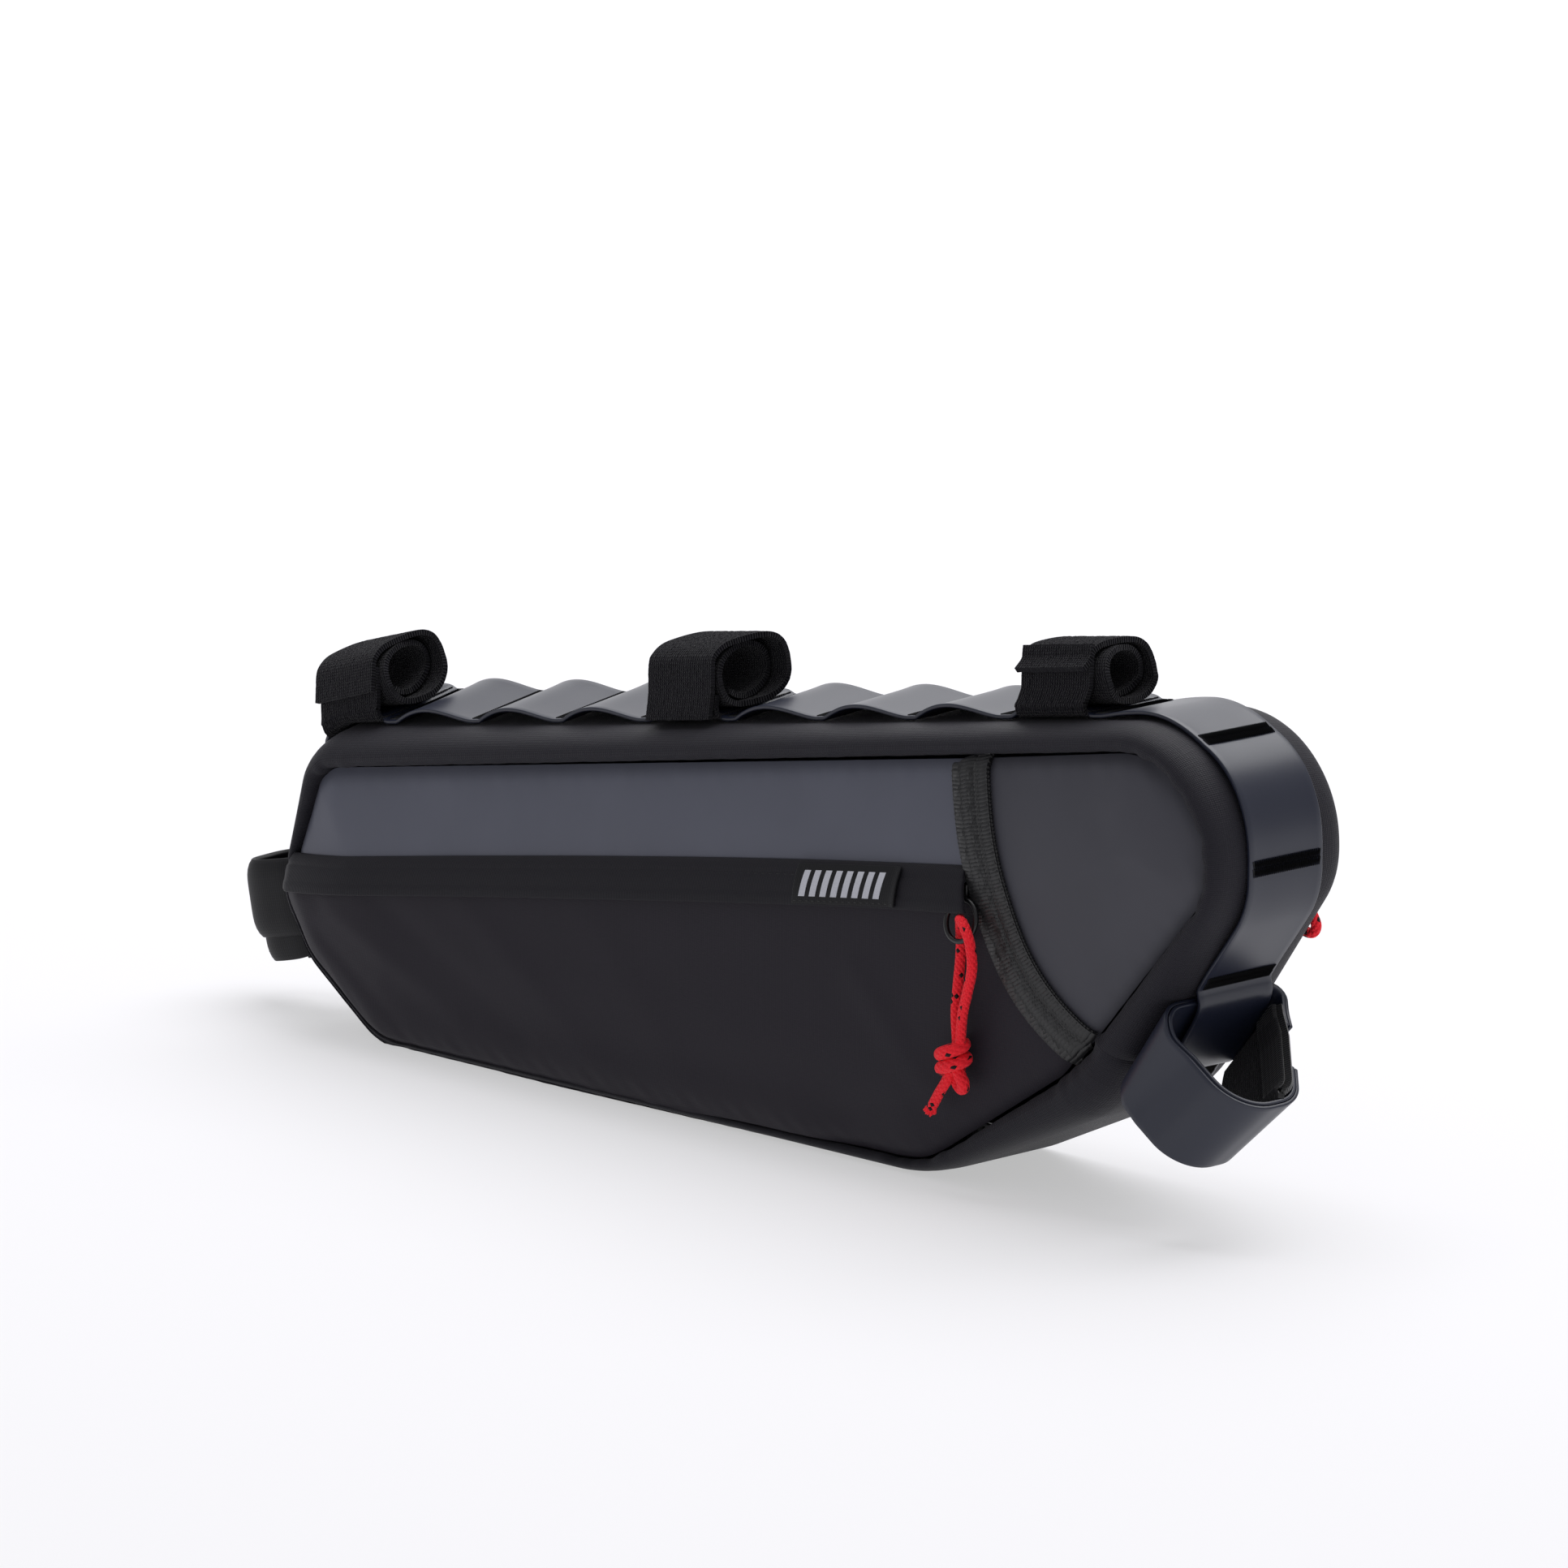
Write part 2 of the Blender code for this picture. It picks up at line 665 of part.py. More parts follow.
def strip_cells():
    """The daisy chain's cells from the tail to the chin: start, length and rise of each."""
    last_top = solve(
        lambda d: OUTLINE_CURVE.at(d)[0].x - LAST_TOP_TACK_ALONG * BODY_LENGTH,
        OUTLINE_CURVE.marks["tail_top"], OUTLINE_CURVE.on_run("tail_top", 1.0))
    start = last_top - TOP_CELLS * TOP_PITCH
    threaded = {row[1] for row in ROLLS}
    cells = []
    for index in range(TOP_CELLS):
        rise = STRAP_CELL_RISE if index in threaded else ARCH_RISE
        cells.append((start + index * TOP_PITCH, TOP_PITCH, rise, index in threaded))
    for index in range(NOSE_CELLS):
        holds_loop = index == NOSE_CELLS - 1
        rise = LOOP_CELL_RISE if holds_loop else NOSE_RISE
        cells.append((last_top + index * NOSE_PITCH, NOSE_PITCH, rise, holds_loop))
    return cells


CELLS = strip_cells()


def add_strip():
    """The daisy chain strip: it arches between its rows of bar tacks and lies flatter round the nose."""
    steps = 8
    path = []
    for start, length, rise, threaded in CELLS:
        for step in range(steps):
            share = step / steps
            skewed = share ** 0.85
            arch = 1 - abs(2 * share - 1) ** 5 if threaded else math.sin(math.pi * skewed) ** 1.4
            path.append((start + length * share, GAP + rise * arch))
    path.append((CELLS[-1][0] + CELLS[-1][1], GAP))

    def place(u, v):
        distance, out = along_list(path, u)
        return on_band(distance, (v - 0.5) * STRIP_WIDTH, out)

    add_sheet("accessory_strip", len(path) - 1, 1, place, STRIP_WALL, sheeting(), grow=1.0)


def strap_point(centre, along, depth, out):
    """A point of a strap: it follows the band where it touches it, and runs straight further out."""
    point, outward = OUTLINE_CURVE.at(centre)
    heading = Vector((outward.y, -outward.x))
    straight = point + heading * along
    laid = OUTLINE_CURVE.at(centre + along)[0]
    share = min(max(out / (BAND_WRAP * 1.2), 0.0), 1.0)
    base = laid.lerp(straight, share * share * (3 - 2 * share)) + outward * out
    return Vector((base.x, depth, base.y))


def add_rolled_strap(name, cell, depth, height, forward, slide):
    """A hook-and-loop strap: threaded under its cell, turned up in front of the strip and rolled on top."""
    start, length, rise, _ = CELLS[cell]
    centre = start + length / 2
    lowest = GAP + STRAP_WALL / 2 + STRAP_UNDER
    front = -STRIP_WIDTH / 2 - GAP - STRAP_WALL / 2 - 0.0006
    floor = GAP + rise + STRIP_WALL + GAP + STRAP_WALL / 2
    middle = Vector((-forward, floor + height / 2 - STRAP_WALL / 2))
    radii = Vector((depth / 2 - STRAP_WALL / 2, height / 2 - STRAP_WALL / 2))
    path = [Vector((STRIP_WIDTH / 2 - 0.001, lowest)), Vector((0.0, lowest)), Vector((front + 0.0030, lowest))]
    for step in range(1, 4):
        angle = math.radians(90 + 30 * step)
        corner = Vector((front + 0.0024, lowest + 0.0024))
        path.append(corner + Vector((math.cos(angle), -math.sin(angle))) * 0.0024)
    per_turn = 12
    for step in range(round(ROLL_TURNS * per_turn) + 1):
        turned = step / per_turn
        angle = math.pi - 2 * math.pi * turned
        shrink = ROLL_STEP * turned
        slack = ROLL_SLACK * turned
        across = (radii.x - shrink - slack) * math.cos(angle)
        path.append(middle + Vector((across, (radii.y - shrink) * math.sin(angle))))

    def place(u, v):
        point = along_list(path, u)
        lift = min(max((point.y - floor) / (height / 3), 0.0), 1.0)
        return strap_point(centre, (v - 0.5) * STRAP_WIDTH + slide * lift, point.x, point.y)

    add_sheet(name, len(path) - 1, 4, place, STRAP_WALL, hook_and_loop(), grow=0.0)


def add_tail_strap():
    """The smooth seat tube strap, folded flat into a roll behind the tail; its inner turns have slipped down."""
    centre = OUTLINE_CURVE.marks["tail_low"] - TAIL_ROLL_BEFORE
    middle = Vector((-TAIL_ROLL_OFF_CENTRE, TAIL_ROLL_OUT / 2 + GAP))
    radii = Vector(((TAIL_ROLL_DEPTH - TAIL_STRAP_WALL) / 2, (TAIL_ROLL_OUT - TAIL_STRAP_WALL) / 2))
    per_turn = 14
    path = []
    for step in range(round(TAIL_ROLL_TURNS * per_turn) + 1):
        turned = step / per_turn
        angle = -math.pi / 2 + 0.7 - 2 * math.pi * turned
        shrink = TAIL_ROLL_STEP * turned
        across = math.copysign(abs(math.cos(angle)) ** 0.62, math.cos(angle)) * (radii.x - shrink)
        out = math.copysign(abs(math.sin(angle)) ** 0.72, math.sin(angle)) * (radii.y - shrink)
        slip = TAIL_ROLL_SLIP * min(max(turned - 0.8, 0.0) / 0.6, 1.0)
        path.append((middle.x + across, middle.y + out, slip))

    def place(u, v):
        across, out, slip = along_list(path, u)
        point, outward = OUTLINE_CURVE.at(centre)
        heading = Vector((outward.y, -outward.x))
        base = point + heading * ((v - 0.5) * STRAP_WIDTH - TAIL_ROLL_LOWER - slip) + outward * out
        return Vector((base.x, across, base.y))

    add_sheet("seat_tube_strap", len(path) - 1, 1, place, TAIL_STRAP_WALL, nylon(), grow=0.0)


def rounded_path(corners, radii, step):
    """Points along a chain of straight lines whose inner corners are rounded to the radii."""
    path = [corners[0]]
    for index in range(1, len(corners) - 1):
        before = (corners[index - 1] - corners[index]).normalized()
        after = (corners[index + 1] - corners[index]).normalized()
        half_angle = before.angle(after) / 2
        radius = radii[index - 1]
        centre = corners[index] + (before + after).normalized() * radius / math.sin(half_angle)
        first = corners[index] + before * radius / math.tan(half_angle) - centre
        last = corners[index] + after * radius / math.tan(half_angle) - centre
        sweep = math.copysign(first.angle(last), first.cross(last))
        start = math.atan2(first.y, first.x)
        count = max(2, math.ceil(abs(sweep) / step))
        for part in range(count + 1):
            angle = start + sweep * part / count
            path.append(centre + Vector((math.cos(angle), math.sin(angle))) * radius)
    return path + [corners[-1]]


def with_stations(path, step):
    """The same path with points at most a step apart on its long straight lines."""
    found = [path[0]]
    for point in path[1:]:
        start = found[-1]
        count = max(1, math.ceil((point - start).length / step))
        found += [start.lerp(point, part / count) for part in range(1, count + 1)]
    return found


def add_down_tube_strap():
    """The down tube loop: a coated strap under the strip's last cell, closed by hook-and-loop at the back."""
    start, length, _, _ = CELLS[-1]
    centre = start + length / 2
    base = GAP + LOOP_WALL / 2
    front = -LOOP_FRONT + LOOP_WALL / 2
    low = LOOP_DROP - LOOP_WALL / 2
    turn = Vector((LOOP_LOW_BACK, low))
    top = Vector((LOOP_BACK, base))
    slope = (top - turn).normalized()
    coated_corners = (turn + slope * LOOP_TAB_FROM, top, Vector((front, base)), Vector((front, low)), turn,
                      turn + slope * LOOP_LAP)
    coated_path = rounded_path(coated_corners, (0.0030, 0.0100, 0.0125, 0.0120), math.radians(14))
    inside = LOOP_WALL / 2 + HOOK_WALL / 2 + HOOK_CLEAR
    across = Vector((slope.y, -slope.x)) * inside
    forward = Vector((-1.0, 0.0))
    hook_turn = turn + (slope + forward).normalized() * inside / math.sin(slope.angle(forward) / 2)
    hook_corners = (turn + slope * HOOK_TO + across, hook_turn, Vector((HOOK_FROM, low - inside)))
    hook_path = with_stations(rounded_path(hook_corners, (0.0120 - inside,), math.radians(14)), HOOK_STATION)

    def place_on(path, width):
        def place(u, v):
            along = (v - 0.5) * width
            point = along_list(path, u)
            skew = LOOP_SKEW_FRONT + (LOOP_SKEW_BACK - LOOP_SKEW_FRONT) * (point.x - front) / (LOOP_BACK - front)
            depth = point.x - skew * along * min(point.y / LOOP_SKEW_BY, 1.0)
            return strap_point(centre, along, depth, point.y * (1 - LOOP_SAG * along))
        return place

    columns = len(coated_path) - 1
    add_sheet("down_tube_strap", columns, 1, place_on(coated_path, LOOP_WIDTH), LOOP_WALL, sheeting(), grow=0.0)
    columns = len(hook_path) - 1
    add_sheet("down_tube_hook", columns, HOOK_ROWS, place_on(hook_path, HOOK_WIDTH), HOOK_WALL, hook_and_loop(), grow=0.0)


def pull_point(side, offset):
    """A point of a pull: to the right of its slider, below the flap's lower edge and out from the panel."""
    along = pull_along(side) + offset[0]
    height = flap_low(pull_along(side)) - offset[1]
    return settled(on_side(Vector((along, height)), side, offset[2]))


def slider_centre(side):
    """Where the slider lies along the bag: just short of the trim on the front, behind its pull on the back."""
    if side == BACK:
        return pull_along(side) - SLIDER_BEHIND
    edge = min(trim_line(trim_crossing(line, -TRIM_WIDTH / 2), -TRIM_WIDTH / 2).x for line in (zip_top, zip_low))
    return edge - SLIDER_TO_TRIM - SLIDER_LENGTH / 2


def add_slider(side, name):
    """The zip's slider, a small block that lies between the zip and the flap."""
    centre = slider_centre(side)
    mesh = bpy.data.meshes.new("slider_" + name)
    block = bmesh.new()
    bmesh.ops.create_cube(block, size=1.0)
    for vertex in block.verts:
        along = centre + vertex.co.x * SLIDER_LENGTH
        height = (zip_top(along) + zip_low(along)) / 2 + vertex.co.z * SLIDER_HEIGHT
        out = -ZIP_RECESS + GAP + SLIDER_WALL * (0.5 - side * vertex.co.y * FRONT)
        vertex.co = settled(on_side(Vector((along, height)), side, out))
    block.to_mesh(mesh)
    block.free()
    piece = add_piece("zip_slider_" + name, mesh, black_metal())
    edge = piece.modifiers.new("edge", "BEVEL")
    edge.width = SLIDER_WALL / 4
    edge.segments = 1


def add_ring():
    """The wire ring that joins the slider and the pull cord: its lower bar swings out from the panel."""
    side = FRONT
    along = pull_along(side)
    low_edge = flap_low(along)
    top = settled(on_side(Vector((along, low_edge - RING_DROP + RING_RADIUS)), side, RING_TOP_STANDOFF))
    low_out = RING_TOP_STANDOFF + RING_SWING
    low = settled(on_side(Vector((along, low_edge - RING_DROP - RING_RADIUS)), side, low_out))
    steps = 18
    wire = bpy.data.curves.new("pull_ring_front", "CURVE")
    wire.dimensions = "3D"
    wire.bevel_depth = RING_WIRE / 2
    wire.bevel_resolution = 1
    spline = wire.splines.new("POLY")
    spline.points.add(steps - 1)
    spline.use_cyclic_u = True
    centre = (top + low) / 2
    arm = (top - low) / 2
    for step in range(steps):
        angle = 2 * math.pi * step / steps
        place = centre + arm * math.cos(angle) + Vector((RING_RADIUS * math.sin(angle), 0.0, 0.0))
        spline.points[step].co = (*place, 1.0)
    add_piece("pull_ring_front", wire, black_metal())


def smooth_route(points, step):
    """Points a step apart on the smooth curve through the points of a route."""
    ends = [points[0] * 2 - points[1]] + list(points) + [points[-1] * 2 - points[-2]]
    fine = []
    for index in range(1, len(ends) - 2):
        p0, p1, p2, p3 = ends[index - 1:index + 3]
        for part in range(12):
            t = part / 12
            value = p1 * 2 + (p2 - p0) * t
            value += (p0 * 2 - p1 * 5 + p2 * 4 - p3) * t * t
            value += (p1 * 3 - p0 - p2 * 3 + p3) * t * t * t
            fine.append(value / 2)
    fine.append(points[-1])
    lengths = np.cumsum([0.0] + [(b - a).length for a, b in zip(fine, fine[1:])])
    count = max(2, round(lengths[-1] / step))
    places = np.linspace(0.0, lengths[-1], count + 1)
    columns = [np.interp(places, lengths, [p[axis] for p in fine]) for axis in range(3)]
    return [Vector(values) for values in zip(*columns)]


def add_cord(name, side, route):
    """A stretch of the red pull cord as a plain tube."""
    points = smooth_route([pull_point(side, offset) for offset in route], CORD_DIAMETER)
    tube = bpy.data.curves.new(name, "CURVE")
    tube.dimensions = "3D"
    tube.bevel_depth = CORD_DIAMETER / 2
    tube.bevel_resolution = 2
    tube.use_fill_caps = True
    spline = tube.splines.new("POLY")
    spline.points.add(len(points) - 1)
    for target, point in zip(spline.points, points):
        target.co = (*point, 1.0)
    add_piece(name, tube, red_cord())


def add_knot():
    """The overhand knot that ties the two strands of the front pull: two fat turns and the end's bulge."""
    mesh = bpy.data.meshes.new("pull_knot_front")
    ball = bmesh.new()
    bmesh.ops.create_uvsphere(ball, u_segments=14, v_segments=10, radius=0.5)
    for vertex in ball.verts:
        waist = 1 - 0.16 * math.exp(-((vertex.co.z - 0.12) / 0.07) ** 2)
        taper = 1 - 0.35 * max(0.0, -vertex.co.z) * 2
        vertex.co.x *= KNOT_WIDTH * waist * taper * 1.02
        vertex.co.y *= KNOT_DEPTH * waist * taper
        vertex.co.z *= KNOT_HEIGHT
        vertex.co.x -= 0.10 * vertex.co.z
    ball.to_mesh(mesh)
    ball.free()
    mesh.shade_smooth()
    piece = add_piece("pull_knot_front", mesh, red_cord())
    piece.location = pull_point(FRONT, KNOT_PLACE)


def stand_on_origin():
    """Moves the whole bag so that the middle of its box stands over the origin; the red pulls don't count."""
    bpy.context.view_layer.update()
    graph = bpy.context.evaluated_depsgraph_get()
    holder = bpy.data.objects.new("frame_bag", None)
    bpy.data.collections["bicycle_frame_bag"].objects.link(holder)
    corners = []
    pieces = [piece for piece in bpy.data.collections["bicycle_frame_bag"].objects if piece.type != "EMPTY"]
    for piece in pieces:
        if piece.data.materials[0] != red_cord():
            shape = piece.evaluated_get(graph).to_mesh()
            corners += [piece.matrix_world @ vertex.co for vertex in shape.vertices]
        piece.parent = holder
    places = np.array(corners)
    middle = (places.min(axis=0) + places.max(axis=0)) / 2
    holder.location = (-middle[0], -middle[1], -places[:, 2].min())
    bpy.context.view_layer.update()


def main():
    """Builds the bag piece by piece."""
    for item in list(bpy.data.objects):
        bpy.data.objects.remove(item)
    bag = bpy.data.collections.new("bicycle_frame_bag")
    bpy.context.scene.collection.children.link(bag)
    tail_join = OUTLINE_CURVE.on_run("tail_low", 0.05)
    chin_join = OUTLINE_CURVE.on_run("nose_low", 0.88)
    add_band("gusset_top", tail_join + GAP / 2, chin_join - GAP / 2)
    add_band("gusset_bottom", chin_join + GAP / 2, OUTLINE_CURVE.length + tail_join - GAP / 2)
    add_front_panels()
    add_back_panels()
    add_trim()
    for side, name in ((FRONT, "front"), (BACK, "back")):
        add_zip(side, name)
        add_slider(side, name)
    add_ring()
    add_label()
    add_strip()
    for row in ROLLS:
        add_rolled_strap(*row)
    add_tail_strap()
    add_down_tube_strap()
    add_cord("pull_cord_front", FRONT, FRONT_CORD_ROUTE)
    add_cord("pull_tail_front", FRONT, FRONT_TAIL_ROUTE)
    add_knot()
    add_cord("pull_cord_back", BACK, BACK_CORD_ROUTE)
    stand_on_origin()


main()
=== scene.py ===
"""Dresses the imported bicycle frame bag: padded cloth, straps, stitching, cord and a plain studio.

Sizes are in metres unless a name ends in _mm. X runs from the tail to the nose, the front faces -Y and +Z is up.
Each sub-assembly is a class. It lays its cloth over the same outline that the solids follow.
"""
import logging
import math
from dataclasses import dataclass, field
from enum import Enum
from typing import Any, Callable, Sequence

import bpy
import numpy as np
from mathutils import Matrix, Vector


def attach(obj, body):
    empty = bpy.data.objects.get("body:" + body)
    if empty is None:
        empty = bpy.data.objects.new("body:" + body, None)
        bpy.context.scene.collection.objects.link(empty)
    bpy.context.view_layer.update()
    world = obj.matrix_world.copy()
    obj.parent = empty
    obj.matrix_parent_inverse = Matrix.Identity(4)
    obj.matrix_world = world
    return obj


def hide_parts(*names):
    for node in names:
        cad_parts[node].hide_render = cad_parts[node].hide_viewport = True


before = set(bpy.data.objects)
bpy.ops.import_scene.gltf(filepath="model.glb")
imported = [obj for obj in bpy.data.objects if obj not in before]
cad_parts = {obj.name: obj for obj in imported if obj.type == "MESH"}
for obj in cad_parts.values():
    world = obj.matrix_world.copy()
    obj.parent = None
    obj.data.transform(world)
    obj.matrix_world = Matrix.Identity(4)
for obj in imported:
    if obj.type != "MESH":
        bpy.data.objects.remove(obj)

LOG = logging.getLogger("frame_bag")
Array = np.ndarray
Place = Callable[[Array, Array], Array]
Curve = Callable[[Array], Array]
SHIFT = np.array((-0.190927, 0.002226, 0.0))
MM = 1000.0
SEAM_MARGIN = 0.0002
OFF_BAND = 0.0003
TRIM_MARGIN = 0.001


class Side(Enum):
    """The two faces of the bag; the value is the sign of Y."""

    FRONT = -1.0
    BACK = 1.0


class Grow(Enum):
    """Which way a wall grows from the surface that was laid; the value is Solidify's offset."""

    IN = -1.0
    MIDDLE = 0.0
    OUT = 1.0


# Helpers for curves, meshes and modifiers

def smooth_curve(points: Sequence[Sequence[float]], step: float) -> Array:
    """Points a step apart on the smooth curve through a route.

    Args:
        points: the route's points, of any number of axes.
        step: distance between the points that come back.

    Returns:
        The points as rows.
    """
    rows = np.asarray(points, dtype=float)
    ends = np.vstack((rows[0] * 2 - rows[1], rows, rows[-1] * 2 - rows[-2]))
    fine = []
    for index in range(1, len(ends) - 2):
        p0, p1, p2, p3 = ends[index - 1:index + 3]
        for t in np.arange(16) / 16:
            fine.append((p1 * 2 + (p2 - p0) * t + (p0 * 2 - p1 * 5 + p2 * 4 - p3) * t * t
                         + (p1 * 3 - p0 - p2 * 3 + p3) * t ** 3) / 2)
    fine.append(rows[-1])
    return even_steps(np.array(fine), step)


def even_steps(path: Array, step: float) -> Array:
    """The same path with its points a step apart."""
    lengths = path_lengths(path)
    places = np.linspace(0.0, lengths[-1], max(2, round(lengths[-1] / step)) + 1)
    return np.column_stack([np.interp(places, lengths, path[:, axis]) for axis in range(path.shape[1])])


def path_lengths(path: Array) -> Array:
    """The distance along a path at each of its points."""
    return np.concatenate(([0.0], np.cumsum(np.linalg.norm(np.diff(path, axis=0), axis=1))))


def along_path(path: Array, share: Array) -> Array:
    """The points at shares of a path's length."""
    lengths = path_lengths(path)
    return np.column_stack([np.interp(share * lengths[-1], lengths, path[:, axis]) for axis in range(path.shape[1])])


def ease(value: Array) -> Array:
    """A smooth step from 0 to 1."""
    t = np.clip(value, 0.0, 1.0)
    return t * t * (3 - 2 * t)


def ripple(distance: Array, phase: float) -> Array:
    """An uneven wave between about -1 and 1, for puckers along a seam; distance is in metres."""
    mm = distance * MM
    return (np.sin(mm / 1.37 + phase) * 0.45 + np.sin(mm / 2.31 + 1.7 * phase) * 0.35
            + np.sin(mm / 4.9 + 2.9 * phase) * 0.3)


def select_only(piece: bpy.types.Object) -> None:
    """Makes one object the only selected and active one."""
    bpy.ops.object.select_all(action="DESELECT")
    piece.select_set(True)
    bpy.context.view_layer.objects.active = piece


def apply_modifiers(piece: bpy.types.Object) -> None:
    """Applies every modifier of a piece."""
    select_only(piece)
    for modifier in list(piece.modifiers):
        bpy.ops.object.modifier_apply(modifier=modifier.name)


def lay_cloth(name: str, columns: int, rows: int, place: Place, flat: Place) -> bpy.types.Object:
    """Lays a grid of cloth on a surface, with a UV map that is the flat cloth in millimetres.

    Args:
        name: the piece's name.
        columns: faces along u.
        rows: faces along v.
        place: where a share u, v of the cloth lies.
        flat: where it lies on the flat cloth, in millimetres.

    Returns:
        The grid's object, one face thick.
    """
    bpy.ops.object.select_all(action="DESELECT")
    bpy.ops.mesh.primitive_grid_add(x_subdivisions=columns, y_subdivisions=rows, size=1.0)
    piece = bpy.context.object
    piece.name = name
    piece.data.name = name
    mesh = piece.data
    start = np.empty(len(mesh.vertices) * 3)
    mesh.vertices.foreach_get("co", start)
    u, v = (start.reshape(-1, 3)[:, :2] + 0.5).T
    mesh.vertices.foreach_set("co", place(u, v).ravel())
    corners = np.empty(len(mesh.loops), dtype=np.int32)
    mesh.loops.foreach_get("vertex_index", corners)
    mesh.uv_layers[0].data.foreach_set("uv", flat(u, v)[corners].ravel())
    mesh.update()
    return piece


def give_wall(piece: bpy.types.Object, wall: float, grow: Grow, rim: float = 0.0) -> None:
    """Gives laid cloth its thickness and, where rim is set, rounds the edges of its rim."""
    shell = piece.modifiers.new("wall", "SOLIDIFY")
    shell.thickness = wall
    shell.offset = grow.value
    if rim:
        round_rim = piece.modifiers.new("rim", "BEVEL")
        round_rim.width = rim
        round_rim.segments = 2
        round_rim.limit_method = "ANGLE"
        round_rim.angle_limit = math.radians(55)
    apply_modifiers(piece)
    bpy.ops.object.shade_smooth_by_angle(angle=math.radians(48))


def cloth_piece(name: str, grid: tuple[int, int], place: Place, flat: Place, wall: float, grow: Grow, rim: float,
                finish: "Finish", nodes: Sequence[str] = ()) -> bpy.types.Object:
    """Lays cloth, gives it its wall and finish, and reports it.

    Args:
        name: the piece's name.
        grid: faces along u and along v.
        place: where a share u, v of the cloth lies.
        flat: where it lies on the flat cloth, in millimetres.
        wall: its thickness.
        grow: which way the wall grows.
        rim: how far the rim's edges are rounded; 0 leaves them sharp.
        finish: its finish.
        nodes: the nodes that it stands for.

    Returns:
        The finished piece.
    """
    piece = lay_cloth(name, *grid, place, flat)
    give_wall(piece, wall, grow, rim)
    finish.dress(piece)
    report_piece(piece, nodes)
    return piece


def tube_mesh(name: str, path: Array, radius: float | Array, sides: int, closed: bool = False,
              squash: float = 1.0) -> bpy.types.Object:
    """A round tube along a path; its UV map is millimetres around and along.

    Args:
        name: the piece's name.
        path: the points of its middle line.
        radius: one radius, or one for each point.
        sides: faces around.
        closed: whether the path comes back to its start.
        squash: share of the tube's width that is left in depth.

    Returns:
        The tube's object.
    """
    count = len(path)
    radii = np.broadcast_to(radius, count)
    ahead = np.roll(path, -1, axis=0) - np.roll(path, 1, axis=0)
    if not closed:
        ahead[0] = path[1] - path[0]
        ahead[-1] = path[-1] - path[-2]
    ahead /= np.linalg.norm(ahead, axis=1)[:, None]
    across = np.cross(ahead[0], (0.0, 1.0, 0.0))
    if np.linalg.norm(across) < 0.2:
        across = np.cross(ahead[0], (1.0, 0.0, 0.0))
    rings = []
    for index in range(count):
        across = across - ahead[index] * across.dot(ahead[index])
        across /= np.linalg.norm(across)
        rings.append((across.copy(), np.cross(ahead[index], across)))
    angles = np.arange(sides) * 2 * math.pi / sides
    points = [path[i] + radii[i] * (np.outer(np.cos(angles), a) + np.outer(np.sin(angles), b) * squash)
              for i, (a, b) in enumerate(rings)]
    lengths = path_lengths(path) * MM
    around = 2 * math.pi * float(np.max(radii)) * MM / sides
    faces, flat = [], []
    for i in range(count if closed else count - 1):
        j = (i + 1) % count
        end = lengths[i + 1] if i + 1 < count else lengths[-1] + (lengths[-1] - lengths[-2])
        for k in range(sides):
            m = (k + 1) % sides
            faces.append((i * sides + k, i * sides + m, j * sides + m, j * sides + k))
            flat += [(k * around, lengths[i]), ((k + 1) * around, lengths[i]), ((k + 1) * around, end),
                     (k * around, end)]
    if not closed:
        faces.append(tuple(reversed(range(sides))))
        faces.append(tuple((count - 1) * sides + k for k in range(sides)))
        flat += [(k * around, 0.0) for k in range(2 * sides)]
    mesh = bpy.data.meshes.new(name)
    mesh.from_pydata(np.vstack(points).tolist(), [], faces)
    mesh.uv_layers.new(name="UVMap").data.foreach_set("uv", np.array(flat).ravel())
    piece = bpy.data.objects.new(name, mesh)
    bpy.context.scene.collection.objects.link(piece)
    select_only(piece)
    bpy.ops.object.mode_set(mode="EDIT")
    bpy.ops.mesh.select_all(action="SELECT")
    bpy.ops.mesh.normals_make_consistent(inside=False)
    bpy.ops.object.mode_set(mode="OBJECT")
    bpy.ops.object.shade_smooth_by_angle(angle=math.radians(60))
    return piece


def sewn_stitches(name: str, places: Array, ways: Array, outs: Array, length: float,
                  radius: float) -> bpy.types.Object:
    """Short thread stitches: one is modelled and the rest are copies of it along a seam.

    Args:
        name: the piece's name.
        places: middle of each stitch.
        ways: direction of each stitch.
        outs: direction out of the cloth at each stitch.
        length: a stitch's length.
        radius: the thread's radius.

    Returns:
        All the stitches as one object.
    """
    bpy.ops.object.select_all(action="DESELECT")
    bpy.ops.mesh.primitive_uv_sphere_add(segments=6, ring_count=6, radius=1.0)
    piece = bpy.context.object
    piece.name = name
    piece.data.name = name
    shape = np.array([v.co for v in piece.data.vertices])
    faces = [tuple(f.vertices) for f in piece.data.polygons]
    ways = ways / np.linalg.norm(ways, axis=1)[:, None]
    outs = outs - ways * (outs * ways).sum(axis=1)[:, None]
    outs /= np.linalg.norm(outs, axis=1)[:, None]
    sides = np.cross(ways, outs)
    rounded = np.sign(shape[:, 2]) * np.abs(shape[:, 2]) ** 0.7 * length / 2
    flat_x, flat_y = shape[:, 0] * radius, shape[:, 1] * radius
    points = [place + np.outer(rounded, way) + np.outer(flat_x, side) + np.outer(flat_y, out)
              for place, way, side, out in zip(places, ways, sides, outs)]
    all_faces = [tuple(i + n * len(shape) for i in face) for n in range(len(places)) for face in faces]
    mesh = bpy.data.meshes.new(name + "_rows")
    mesh.from_pydata(np.vstack(points).tolist(), [], all_faces)
    mesh.shade_smooth()
    piece.data = mesh
    return piece


